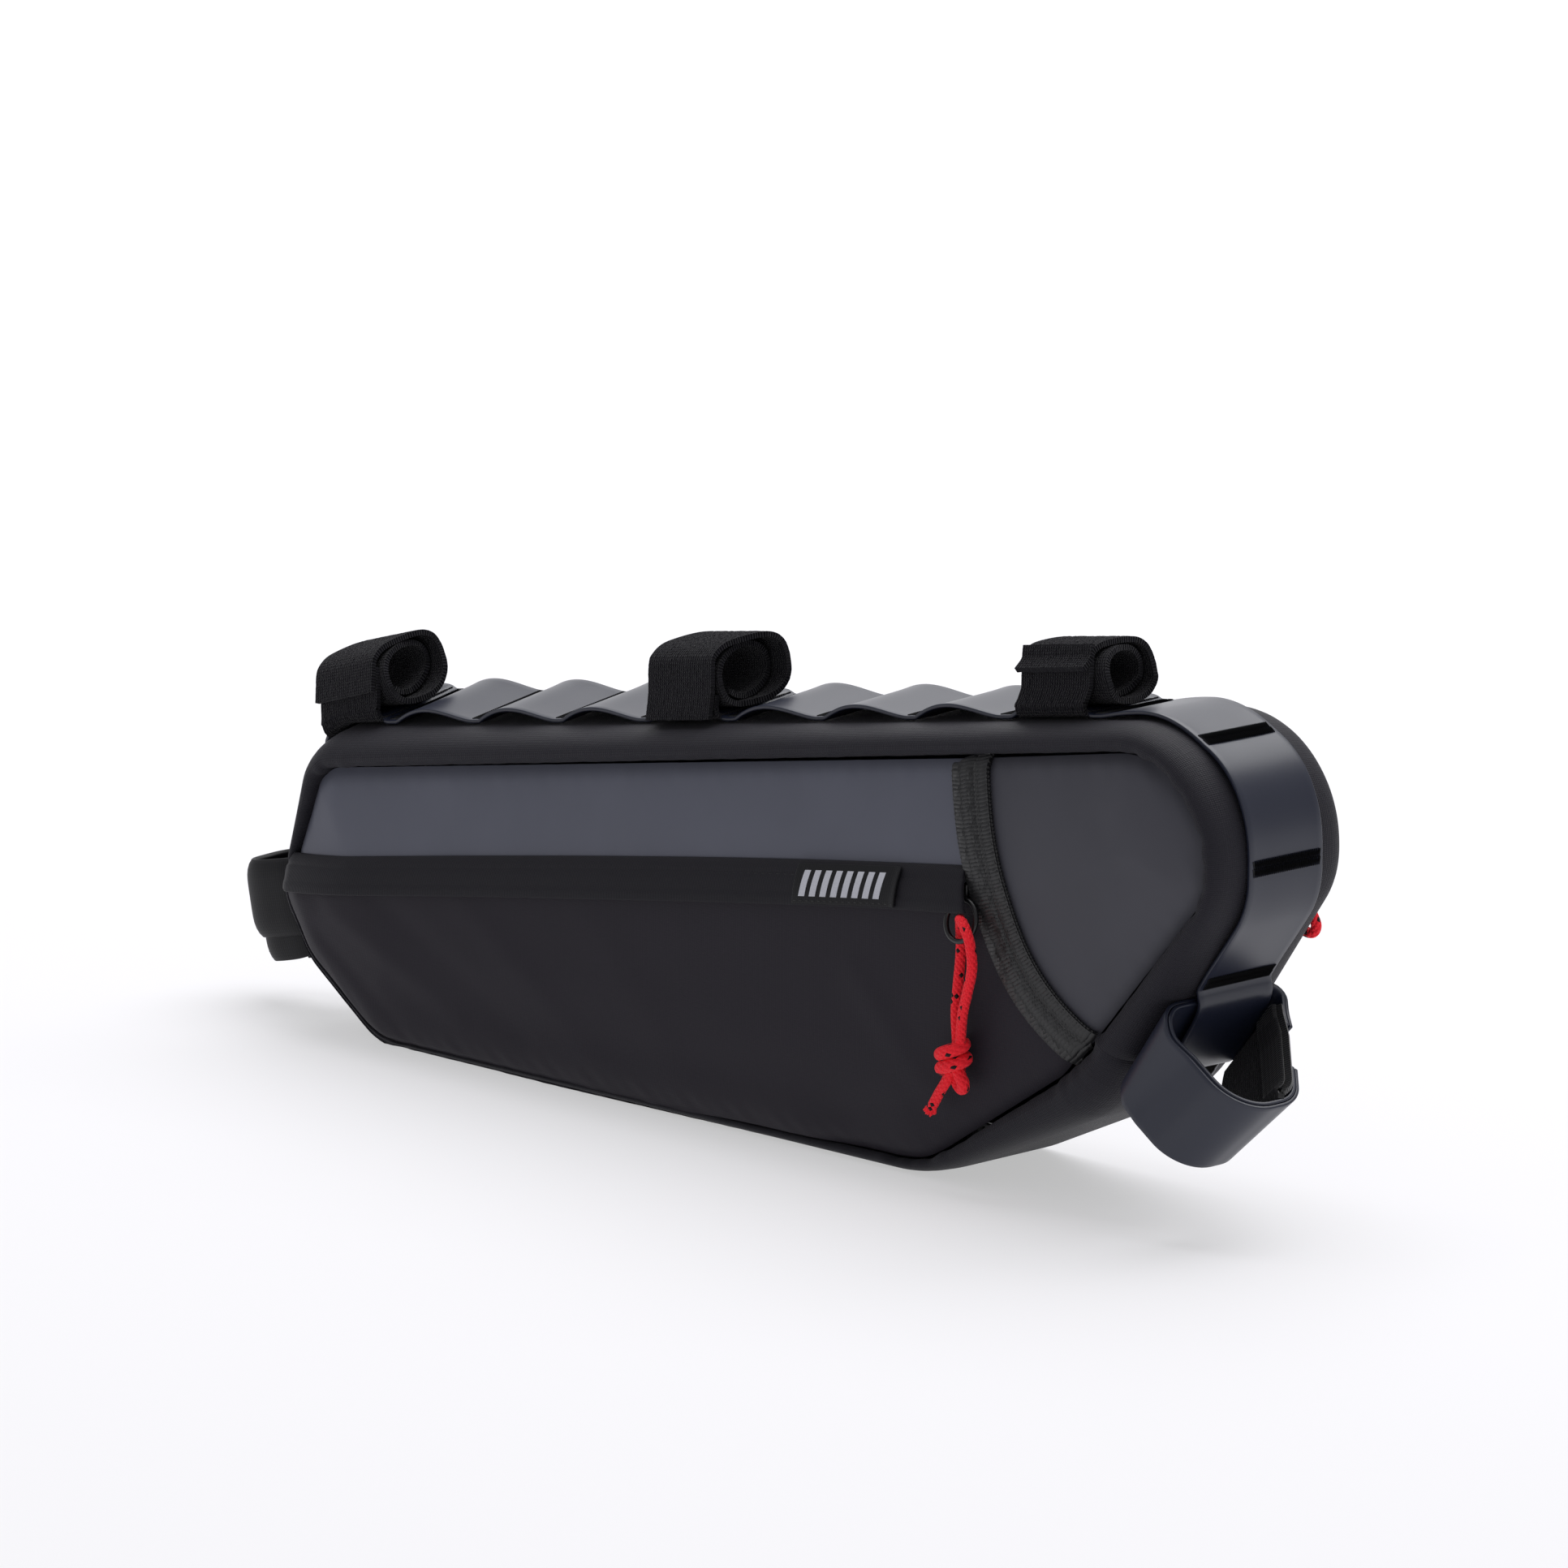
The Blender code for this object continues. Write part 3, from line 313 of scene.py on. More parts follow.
def report_piece(piece: bpy.types.Object, nodes: Sequence[str] = ()) -> None:
    """Tells the frame that a piece rides on the bag, hides the nodes that it stands for and logs them."""
    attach(piece, "root")
    if nodes:
        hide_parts(*nodes)
    LOG.info("%s: %d faces for %s", piece.name, len(piece.data.polygons), ", ".join(nodes) or "no node")


# Finishes

def linear(shade: str) -> tuple[float, float, float, float]:
    """An sRGB hex value as linear red, green, blue and alpha."""
    parts = [int(shade[i:i + 2], 16) / 255 for i in (1, 3, 5)]
    return (*[c / 12.92 if c <= 0.04045 else ((c + 0.055) / 1.055) ** 2.4 for c in parts], 1.0)


def add_node(material: bpy.types.Material, kind: str, settings: dict[Any, Any] | None = None,
             links: dict[Any, Any] | None = None) -> bpy.types.Node:
    """Adds a node with its settings and links.

    Args:
        material: the material it goes into.
        kind: the node's type.
        settings: values by property name, input name or input number.
        links: output sockets by input name or number.

    Returns:
        The new node.
    """
    node = material.node_tree.nodes.new(kind)
    for key, value in (settings or {}).items():
        if isinstance(key, str) and hasattr(node, key):
            setattr(node, key, value)
        else:
            node.inputs[key].default_value = value
    for key, source in (links or {}).items():
        material.node_tree.links.new(source, node.inputs[key])
    return node


def cloth_uv(material: bpy.types.Material) -> Any:
    """The place on the flat cloth, in millimetres."""
    return add_node(material, "ShaderNodeUVMap", {"uv_map": "UVMap"}).outputs[0]


def maths(material: bpy.types.Material, operation: str, first: Any, second: Any, third: Any = None) -> Any:
    """The output of a maths node; each value is a number or another node's output."""
    values = {index: value for index, value in enumerate((first, second, third)) if value is not None}
    numbers = {index: value for index, value in values.items() if isinstance(value, float)}
    sockets = {index: value for index, value in values.items() if index not in numbers}
    return add_node(material, "ShaderNodeMath", {"operation": operation, **numbers}, sockets).outputs[0]


def noise(material: bpy.types.Material, place: Any, scale: float, detail: float, roughness: float = 0.5) -> Any:
    """The factor of a noise texture."""
    return add_node(material, "ShaderNodeTexNoise", {"Scale": scale, "Detail": detail, "Roughness": roughness},
                    {"Vector": place}).outputs[0]


def wave(material: bpy.types.Material, place: Any, direction: str, pitch_mm: float, distortion: float,
         detail: float) -> Any:
    """The factor of straight waves at a pitch in millimetres; Blender's bands are 0.314 / scale apart."""
    return add_node(material, "ShaderNodeTexWave",
                    {"bands_direction": direction, "Scale": 0.314 / pitch_mm, "Distortion": distortion,
                     "Detail": detail}, {"Vector": place}).outputs["Fac"]


@dataclass(frozen=True)
class Finish:
    """What every finish has: its colour and how its surface takes the light."""

    title: str
    shade: str
    roughness: float
    metallic: float = 0.0
    sheen: float = 0.0
    specular: float = 0.5
    coat: float = 0.0
    cloudy: float = 0.06

    def material(self) -> bpy.types.Material:
        """The finish's material, made once."""
        found = bpy.data.materials.get(self.title)
        if found:
            return found
        material = bpy.data.materials.new(self.title)
        material.use_nodes = True
        shader = material.node_tree.nodes["Principled BSDF"]
        shader.inputs["Base Color"].default_value = linear(self.shade)
        shader.inputs["Roughness"].default_value = self.roughness
        shader.inputs["Metallic"].default_value = self.metallic
        shader.inputs["Sheen Weight"].default_value = self.sheen
        shader.inputs["Sheen Roughness"].default_value = 0.45
        shader.inputs["Specular IOR Level"].default_value = self.specular
        shader.inputs["Coat Weight"].default_value = self.coat
        shader.inputs["Coat Roughness"].default_value = 0.25
        height = self.relief(material)
        if height:
            bump = add_node(material, "ShaderNodeBump", {"Strength": height[1], "Distance": height[2]},
                            {"Height": height[0]})
            material.node_tree.links.new(bump.outputs[0], shader.inputs["Normal"])
        self.colour(material, shader)
        return material

    def relief(self, material: bpy.types.Material) -> tuple[Any, float, float] | None:
        """The bump's height socket, strength and distance; plain finishes have none."""
        return None

    def colour(self, material: bpy.types.Material, shader: bpy.types.Node) -> None:
        """Varies the colour a little over the surface, as dyed cloth and worn paint do."""
        place = add_node(material, "ShaderNodeTexCoord").outputs["Object"]
        clouds = noise(material, place, 38.0, 3.0)
        base = np.array(linear(self.shade)[:3])
        mix = add_node(material, "ShaderNodeMix", {"data_type": "RGBA"}, {"Factor": clouds})
        mix.inputs[6].default_value = (*(base * (1 - self.cloudy)), 1.0)
        mix.inputs[7].default_value = (*(base * (1 + self.cloudy)), 1.0)
        material.node_tree.links.new(mix.outputs[2], shader.inputs["Base Color"])

    def dress(self, piece: bpy.types.Object) -> None:
        """Gives a piece this finish all over."""
        piece.data.materials.clear()
        piece.data.materials.append(self.material())


@dataclass(frozen=True)
class WovenCloth(Finish):
    """Cloth with a plain or twill weave and, where rip_mm is set, heavier ripstop threads."""

    thread_mm: float = 0.62
    depth: float = 0.35
    rip_mm: float = 0.0

    def relief(self, material: bpy.types.Material) -> tuple[Any, float, float]:
        """Warp times weft waves, a little slub, and the ripstop grid."""
        # The real threads are about 0.25 mm apart, which the render can't show, so they are drawn coarser.
        place = cloth_uv(material)
        warp, weft = (wave(material, place, direction, self.thread_mm, 0.25, 2.0) for direction in ("X", "Y"))
        weave = maths(material, "MULTIPLY", warp, weft)
        height = maths(material, "ADD", weave, noise(material, place, 0.9, 3.0))
        if self.rip_mm:
            split = add_node(material, "ShaderNodeSeparateXYZ", None, {0: place})
            for axis in (0, 1):
                fold = maths(material, "PINGPONG", split.outputs[axis], self.rip_mm / 2)
                line = maths(material, "LESS_THAN", fold, self.thread_mm * 0.4)
                height = maths(material, "MULTIPLY_ADD", line, 0.5, height)
        return height, self.depth, 0.00012


@dataclass(frozen=True)
class RibbedWebbing(Finish):
    """Grosgrain: fine ribs run across the tape."""

    rib_mm: float = 0.9
    depth: float = 0.6

    def relief(self, material: bpy.types.Material) -> tuple[Any, float, float]:
        """Ribs across the tape with a little unevenness."""
        return wave(material, cloth_uv(material), "X", self.rib_mm, 0.6, 1.0), self.depth, 0.00018


@dataclass(frozen=True)
class CoatedSheet(Finish):
    """Smooth coated sheet: a fine leathery grain under a satin skin."""

    grain: float = 1400.0
    depth: float = 0.12

    def relief(self, material: bpy.types.Material) -> tuple[Any, float, float]:
        """A fine even grain."""
        place = add_node(material, "ShaderNodeTexCoord").outputs["Object"]
        return noise(material, place, self.grain, 2.0), self.depth, 0.00012


@dataclass(frozen=True)
class LoopPile(Finish):
    """Hook-and-loop tape: rows of small loops with a woven selvedge along both edges."""

    loop_mm: float = 0.85

    def relief(self, material: bpy.types.Material) -> tuple[Any, float, float]:
        """Rows of loops and a coarse noise for their tangle."""
        place = cloth_uv(material)
        across, along = (wave(material, place, direction, self.loop_mm, 1.6, 2.0) for direction in ("X", "Y"))
        loops = maths(material, "MULTIPLY", across, along)
        return maths(material, "ADD", loops, noise(material, place, 2.2, 4.0, 0.7)), 1.0, 0.00045

    def colour(self, material: bpy.types.Material, shader: bpy.types.Node) -> None:
        """Dark pile with lint-grey tips."""
        tips = noise(material, cloth_uv(material), 1.7, 4.0, 0.75)
        ramp = add_node(material, "ShaderNodeValToRGB", None, {0: tips})
        base = np.array(linear(self.shade)[:3])
        for stop, (position, share) in zip(ramp.color_ramp.elements, ((0.4, 0.6), (0.8, 2.2))):
            stop.position = position
            stop.color = (*(base * share), 1.0)
        material.node_tree.links.new(ramp.outputs[0], shader.inputs["Base Color"])


@dataclass(frozen=True)
class BraidedCord(Finish):
    """Braided cord: crossing strands as small diamonds, some of them black tracer threads."""

    fleck: str = "#170609"
    strand_mm: float = 1.25

    def cells(self, material: bpy.types.Material) -> tuple[Any, Any]:
        """The two helical coordinates of the braid, in strands."""
        split = add_node(material, "ShaderNodeSeparateXYZ", None, {0: cloth_uv(material)})
        around, along = split.outputs[0], split.outputs[1]
        share = 1 / (self.strand_mm * math.sqrt(2))
        return tuple(maths(material, "MULTIPLY", maths(material, operation, along, around), share)
                     for operation in ("ADD", "SUBTRACT"))

    def relief(self, material: bpy.types.Material) -> tuple[Any, float, float]:
        """A rounded diamond for each strand that comes to the surface."""
        first, second = (maths(material, "POWER", maths(material, "PINGPONG", coordinate, 0.5), 0.6)
                         for coordinate in self.cells(material))
        return maths(material, "MULTIPLY", first, second), 1.0, 0.0009

    def colour(self, material: bpy.types.Material, shader: bpy.types.Node) -> None:
        """Red with a black diamond here and there."""
        whole = [maths(material, "FLOOR", coordinate, None) for coordinate in self.cells(material)]
        cell = add_node(material, "ShaderNodeCombineXYZ", None, {0: whole[0], 1: whole[1]})
        chance = add_node(material, "ShaderNodeTexWhiteNoise", {"noise_dimensions": "2D"}, {"Vector": cell.outputs[0]})
        is_fleck = maths(material, "LESS_THAN", chance.outputs["Value"], 0.045)
        mix = add_node(material, "ShaderNodeMix", {"data_type": "RGBA"}, {"Factor": is_fleck})
        mix.inputs[6].default_value = linear(self.shade)
        mix.inputs[7].default_value = linear(self.fleck)
        material.node_tree.links.new(mix.outputs[2], shader.inputs["Base Color"])


# Calendered ripstop nylon: its filaments are fine and even, so folds catch a soft satin light.
NYLON = WovenCloth("woven_ripstop_nylon", "#242329", 0.55, sheen=0.05, specular=0.12, depth=0.9, rip_mm=5.0)
# The side panels' nylon is the same cloth with the coating's duller face out.
PANEL_NYLON = WovenCloth("woven_panel_nylon", "#252229", 0.6, sheen=0.03, specular=0.14, thread_mm=0.8, depth=0.2,
                         rip_mm=8.0)
# Polyurethane-coated polyester: the coating fills the weave and leaves a dull, slightly cloudy grey.
COATED = CoatedSheet("coated_polyester", "#565863", 0.52, specular=0.25, cloudy=0.09)
# The nose panel's piece of the same cloth in a darker colour: painted shade, for the nose panel taking less light than
# the upper panel.
SHADED_NOSE_COATED = CoatedSheet("coated_polyester_nose_painted_shade", "#424249", 0.52, specular=0.25, cloudy=0.10)
# Calendered TPU sheeting: smooth satin with a blue cast.
SHEETING = CoatedSheet("calendered_tpu_sheeting", "#1C2030", 0.38, specular=0.5, coat=0.05, depth=0.06, cloudy=0.04)
# Knitted loop pile: it swallows the light, apart from lint on its tips.
PILE = LoopPile("knitted_loop_pile", "#151419", 0.95, sheen=0.10, specular=0.05)
# Woven polyester grosgrain with a slight lustre on its ribs.
GROSGRAIN = RibbedWebbing("woven_grosgrain", "#101012", 0.38, sheen=0.1, specular=0.5)
# Fine-ribbed flat webbing of the zip flap.
FLAP_WEBBING = RibbedWebbing("fine_ribbed_webbing", "#1C1B20", 0.6, sheen=0.03, specular=0.14, rib_mm=0.7, depth=0.3)
# Smooth woven strap with a faint lengthwise lustre.
STRAP_WEBBING = WovenCloth("smooth_strap_webbing", "#111114", 0.55, sheen=0.04, specular=0.18, thread_mm=0.9, depth=0.3)
# Bonded polyester sewing thread: black and glossier than the cloth, so each stitch catches the light.
THREAD = Finish("bonded_polyester_thread", "#0C0C0E", 0.42, specular=0.4)
# Braided nylon accessory cord with tracer threads.
CORD = BraidedCord("braided_nylon_cord", "#F9202F", 0.6, sheen=0.05, specular=0.2)
# Powder-coated steel wire and zinc die casting.
PAINTED_METAL = Finish("powder_coated_metal", "#0E0E10", 0.32, specular=0.5)
# Light grey weft of the woven label.
LABEL_WEFT = WovenCloth("woven_label_weft", "#B9BAC2", 0.7, thread_mm=0.7, depth=0.5)


# The bag's form

@dataclass(frozen=True)
class Corner:
    """A corner of the side outline: shares of the bag's length and of its height at the nose."""

    name: str
    along: float
    up: float
    radius: float
    wrap: float


@dataclass
class BagForm:
    """The form that all the cloth is laid on: the side outline, the bellied faces and the backward lean."""

    length: float = 0.400
    height: float = 0.150
    seam_depth: float = 0.051
    band_wrap: float = 0.0085
    belly_front: float = 0.0065
    belly_back: float = 0.0040
    belly_reach: float = 0.036
    lean: float = 0.23
    flap_tail: float = 0.0567
    flap_nose: float = 0.0975
    flap_crown: float = 0.0030
    flap_height: float = 0.0120
    trim_width: float = 0.0135
    corners: tuple[Corner, ...] = (
        Corner("tail_low", 0.0000, 0.290, 0.147, 0.35),
        Corner("tail_top", 0.0325, 0.645, 0.130, 1.12),
        Corner("nose_top", 1.0000, 1.000, 0.240, 0.90),
        Corner("nose_low", 1.0025, 0.660, 0.200, 0.66),
        Corner("chin", 0.8875, 0.207, 0.270, 1.75),
        Corner("bottom_right", 0.7150, 0.000, 0.400, 0.50),
        Corner("bottom_left", 0.1150, 0.000, 0.173, 0.22),
        Corner("tail_chin", 0.0350, 0.147, 0.173, 0.22),
    )

    def __post_init__(self) -> None:
        """Works out the outline's runs, its fine table and the two ends of the trim."""
        points = [np.array((c.along * self.length, c.up * self.height)) for c in self.corners]
        self.marks: dict[str, float] = {}
        self.runs: dict[str, float] = {}
        self.bends: list[tuple[float, float]] = []
        cuts = []
        for index, corner in enumerate(self.corners):
            before = points[index - 1] - points[index]
            after = points[(index + 1) % len(points)] - points[index]
            before /= np.linalg.norm(before)
            after /= np.linalg.norm(after)
            half = math.acos(float(np.clip(before.dot(after), -1, 1))) / 2
            radius = corner.radius * self.height
            reach = radius / math.tan(half)
            middle = (before + after) / np.linalg.norm(before + after)
            cuts.append((points[index] + before * reach, points[index] + after * reach,
                         points[index] + middle * radius / math.sin(half), radius, half))
        places, rows, wraps, total = [], [], [], 0.0
        for index, corner in enumerate(self.corners):
            following = (index + 1) % len(self.corners)
            start, end = cuts[index][1], cuts[following][0]
            self.marks[corner.name] = total
            self.runs[corner.name] = float(np.linalg.norm(end - start))
            way = (end - start) / self.runs[corner.name]
            for share in np.arange(60) / 60:
                places.append(total + self.runs[corner.name] * share)
                rows.append((*(start + (end - start) * share), -way[1], way[0]))
            total += self.runs[corner.name]
            entry, _, centre, radius, half = cuts[following]
            turn = math.pi - 2 * half
            first = math.atan2(entry[1] - centre[1], entry[0] - centre[0])
            wraps.append((total + radius * turn / 2, self.corners[following].wrap * self.band_wrap))
            self.bends.append((total + radius * turn / 2, radius * turn / 2))
            for share in np.arange(60) / 60:
                angle = first - turn * share
                way = np.array((math.cos(angle), math.sin(angle)))
                places.append(total + radius * turn * share)
                rows.append((*(centre + way * radius), *way))
            total += radius * turn
        self.total = total
        self.table_places = np.array(places + [total])
        self.table_rows = np.array(rows + [rows[0]])
        self.wrap_places = np.array([wraps[-1][0] - total] + [w[0] for w in wraps] + [wraps[0][0] + total])
        self.wrap_widths = np.array([wraps[-1][1]] + [w[1] for w in wraps] + [wraps[0][1]])
        even = np.linspace(0.0, total, 360, endpoint=False)
        self.seam_points = self.seam(even)
        self.edge_points = self.at(even)[0]
        self.trim_top = self.solve(lambda d: self.seam(np.array([d]), TRIM_MARGIN)[0, 0] - 0.761 * self.length,
                                   self.on_run("tail_top", 0.1), self.on_run("tail_top", 0.95))
        self.trim_low = self.solve(lambda d: self.seam(np.array([d]), TRIM_MARGIN)[0, 1] - 0.330 * self.height,
                                   self.on_run("nose_low", 0.2), self.on_run("chin", 0.3))

    def at(self, distance: Array) -> tuple[Array, Array]:
        """Points of the outline and the directions out of the bag there."""
        places = np.mod(distance, self.total)
        rows = np.column_stack([np.interp(places, self.table_places, self.table_rows[:, k]) for k in range(4)])
        outward = rows[:, 2:] / np.linalg.norm(rows[:, 2:], axis=1)[:, None]
        return rows[:, :2], outward

    def wrap(self, distance: Array) -> Array:
        """How far the band turns onto the bag's sides."""
        return np.interp(np.mod(distance, self.total), self.wrap_places, self.wrap_widths)

    def seam(self, distance: Array, inward: float = 0.0) -> Array:
        """Points of the seam between band and side panel, moved inward by a margin."""
        point, outward = self.at(distance)
        return point - outward * (self.wrap(distance) + inward)[:, None]

    def on_run(self, corner: str, share: float) -> float:
        """The distance at a share of the straight run that follows a corner."""
        return self.marks[corner] + self.runs[corner] * share

    def bend(self, distance: Array) -> Array:
        """How close a place is to one of the round corners, from 0 to 1."""
        found = np.zeros(len(distance))
        for middle, reach in self.bends:
            gap = np.abs(np.mod(distance - middle + self.total / 2, self.total) - self.total / 2)
            found = np.maximum(found, 1 - ease((gap - reach * 0.7) / 0.022))
        return found

    @staticmethod
    def solve(function: Callable[[float], float], low: float, high: float) -> float:
        """The value at which a function changes sign."""
        rising = function(high) > function(low)
        for _ in range(50):
            middle = (low + high) / 2
            if (function(middle) > 0) == rising:
                high = middle
            else:
                low = middle
        return (low + high) / 2

    def inside(self, points: Array) -> Array:
        """Distance of side-view points from the nearest seam."""
        return self.gap_to(self.seam_points, points)

    @staticmethod
    def gap_to(starts: Array, points: Array) -> Array:
        """Distance of side-view points from a closed chain of points."""
        steps = np.roll(starts, -1, axis=0) - starts
        offsets = points[:, None, :] - starts[None]
        shares = np.clip((offsets * steps).sum(axis=2) / (steps * steps).sum(axis=1), 0.0, 1.0)
        return np.sqrt(((offsets - steps * shares[:, :, None]) ** 2).sum(axis=2).min(axis=1))

    def belly(self, points: Array, side: Side) -> Array:
        """Depth of a side panel's outer face, without its sign."""
        share = np.clip(self.inside(points) / self.belly_reach, 0.0, 1.0)
        fullness = self.belly_front if side is Side.FRONT else self.belly_back
        return self.seam_depth / 2 + fullness * (1 - (1 - share) ** 2)

    def settled(self, points: Array) -> Array:
        """Lets the bag lean back towards its tail and puts it in the part's frame."""
        share = np.clip((0.90 - points[:, 0] / self.length) / 0.90, 0.0, 1.0)
        level = np.clip((points[:, 2] / self.height - 0.13) / 0.47, 0.0, 1.0)
        moved = points.copy()
        moved[:, 2] += points[:, 1] * self.lean * share * level * level * (3 - 2 * level)
        return moved + SHIFT

    def on_side(self, points: Array, side: Side, out: Array | float = 0.0) -> Array:
        """Side-view points laid on a side panel, or a distance out from it."""
        depth = side.value * (self.belly(points, side) + out)
        return self.settled(np.column_stack((points[:, 0], depth, points[:, 1])))

    def on_band(self, distance: Array, depth: Array, out: Array) -> Array:
        """Points over the band: along the outline, across the bag and out from the band."""
        point, outward = self.at(distance)
        place = point + outward * np.asarray(out)[:, None]
        return self.settled(np.column_stack((place[:, 0], depth, place[:, 1])))

    def on_strap(self, centre: float, along: Array, depth: Array, out: Array) -> Array:
        """Points of a strap: laid on the band where it touches it, straight further out."""
        point, outward = self.at(np.array([centre]))
        heading = np.array((outward[0, 1], -outward[0, 0]))
        straight = point + np.outer(along, heading)
        laid, _ = self.at(centre + along)
        share = ease(out / (self.band_wrap * 1.2))[:, None]
        base = laid * (1 - share) + straight * share + np.outer(out, outward[0])
        return self.settled(np.column_stack((base[:, 0], depth, base[:, 1])))

    def flap_top(self, along: Array) -> Array:
        """Height of the flap's upper edge."""
        share = (along - 0.02 * self.length) / (0.755 * self.length)
        crown = self.flap_crown * (1 - (2 * share - 1) ** 2)
        return self.flap_tail + (self.flap_nose - self.flap_tail) * share + crown

    def zip_top(self, along: Array) -> Array:
        """Height of the upper edge of the zip's slot."""
        return self.flap_top(along) - 0.0040

    def zip_low(self, along: Array) -> Array:
        """Height of the lower edge of the zip's slot."""
        return self.flap_top(along) - 0.0100

    def flap_low(self, along: Array) -> Array:
        """Height of the flap's lower edge."""
        return self.flap_top(along) - self.flap_height

    def trim_line(self, share: Array, sideways: Array | float = 0.0) -> Array:
        """The trim's middle line from its top end to its low end, moved to the right."""
        first = self.seam(np.array([self.trim_top]), TRIM_MARGIN)[0]
        last = self.seam(np.array([self.trim_low]), TRIM_MARGIN)[0]
        points = (first, np.array((0.785 * self.length, 0.700 * self.height)),
                  np.array((0.800 * self.length, 0.480 * self.height)), last)
        t = np.atleast_1d(np.asarray(share, dtype=float))
        r = 1 - t
        weights = (r ** 3, 3 * r * r * t, 3 * r * t * t, t ** 3)
        place = sum(np.outer(w, p) for w, p in zip(weights, points))
        slopes = (3 * r * r, 6 * r * t, 3 * t * t)
        heading = sum(np.outer(s, points[i + 1] - points[i]) for i, s in enumerate(slopes))
        heading /= np.linalg.norm(heading, axis=1)[:, None]
        normal = np.column_stack((-heading[:, 1], heading[:, 0]))
        return place + normal * np.broadcast_to(sideways, len(t))[:, None]

    def trim_crossing(self, line: Curve, sideways: float) -> float:
        """The share of the trim's length at which it crosses a line of the side view."""
        def above(share: float) -> float:
            point = self.trim_line(np.array([share]), sideways)[0]
            return float(point[1] - line(np.array([point[0]]))[0])
        return self.solve(above, 0.02, 0.98)

    def seam_crossing(self, line: Curve, low: float, high: float, inward: float) -> float:
        """The distance at which the seam crosses a line of the side view."""
        def above(distance: float) -> float:
            point = self.seam(np.array([distance]), inward)[0]
            return float(point[1] - line(np.array([point[0]]))[0])
        return self.solve(above, low, high)

    def line_span(self, side: Side, line: Curve, inward: float) -> tuple[float, float]:
        """Where a line across a side starts and ends: at the tail seam, and at the trim or the nose seam."""
        tail = self.seam_crossing(line, -0.02, self.on_run("tail_low", 0.6), inward)
        start = float(self.seam(np.array([tail]), inward)[0, 0])
        if side is Side.FRONT:
            sideways = -self.trim_width / 2 - inward
            return start, float(self.trim_line(np.array([self.trim_crossing(line, sideways)]), sideways)[0, 0])
        nose = self.seam_crossing(line, self.nose_middle(), self.on_run("nose_low", 0.3), inward)
        return start, float(self.seam(np.array([nose]), inward)[0, 0])

    def nose_middle(self) -> float:
        """The distance at the middle of the nose's upper corner."""
        return (self.on_run("tail_top", 1.0) + self.marks["nose_top"]) / 2


# Sub-assemblies

@dataclass
class PaddedBand:
    """The padded nylon band that runs round the bag and turns onto both sides."""

    form: BagForm
    flat: float = 0.034
    puff: float = 0.0022
    wall: float = 0.0026
    tuck: float = 0.0017
    step: float = 0.0019
    pucker: float = 0.00055
    flat_share: float = 0.45
    rows: int = 44
    cloth_mm: float = 68.0

    def section(self, share: Array) -> tuple[Array, Array, Array]:
        """Half of the band's section, from the flat middle to the seam, as depth, puff and inset shares."""
        rows = smooth_curve(((0.0, 0.0, 0.0), (0.60, 0.10, 0.09), (0.90, 0.62, 0.30), (1.0, 1.0, 0.62),
                             (1.0, 0.55, 0.88), (0.98, 0.0, 1.0)), 0.02)
        path = along_path(rows, share)
        return path[:, 0], path[:, 1], path[:, 2]

    def stretch(self, name: str, start: float, end: float, nodes: Sequence[str]) -> None:
        """One stretch of the band between two of its cross seams."""
        length = end - start
        columns = round(length / self.step)

        def place(u: Array, v: Array) -> Array:
            distance = start + length * u
            side = np.sign(v - 0.5)
            reach = np.abs(v - 0.5) * 2
            turned = np.clip((reach - self.flat_share) / (1 - self.flat_share), 0.0, 1.0)
            sideways, puff, inset = self.section(turned)
            wrap = self.form.wrap(distance)
            half = self.flat / 2
            near_seam = ease((turned - 0.45) / 0.5)
            gathers = np.where(side < 0, ripple(distance, 0.7), ripple(distance, 2.1))
            gathers *= (0.25 + 0.9 * self.form.bend(distance)) * self.pucker
            depth = half * np.clip(reach / self.flat_share, 0, 1) + (self.form.seam_depth / 2 - half) * sideways
            depth += self.puff * puff * wrap / self.form.band_wrap + gathers * near_seam
            depth -= self.tuck * np.minimum(wrap / self.form.band_wrap * 1.3, 1.0) * ease((turned - 0.86) / 0.14)
            cross_seam = np.exp(-(np.minimum(distance - start, end - distance) / 0.0014) ** 2) * 0.0009
            out = -wrap * inset - cross_seam - gathers * near_seam * 0.6
            return self.form.on_band(distance, side * depth, out)

        def flat(u: Array, v: Array) -> Array:
            return np.column_stack((u * length * MM, v * self.cloth_mm))

        piece = cloth_piece(name, (columns, self.rows), place, flat, self.wall, Grow.IN, 0.0, NYLON,
                            nodes)

    def build(self) -> None:
        """Both stretches."""
        tail_join = self.form.on_run("tail_low", 0.05)
        chin_join = self.form.on_run("nose_low", 0.88)
        self.stretch("padded_band_top", tail_join, chin_join, ("gusset_top",))
        self.stretch("padded_band_bottom", chin_join, self.form.total + tail_join, ("gusset_bottom",))


@dataclass(frozen=True)
class Crease:
    """A soft fold in a panel, in millimetres of the side view."""

    x0: float
    z0: float
    x1: float
    z1: float
    width: float
    rise: float


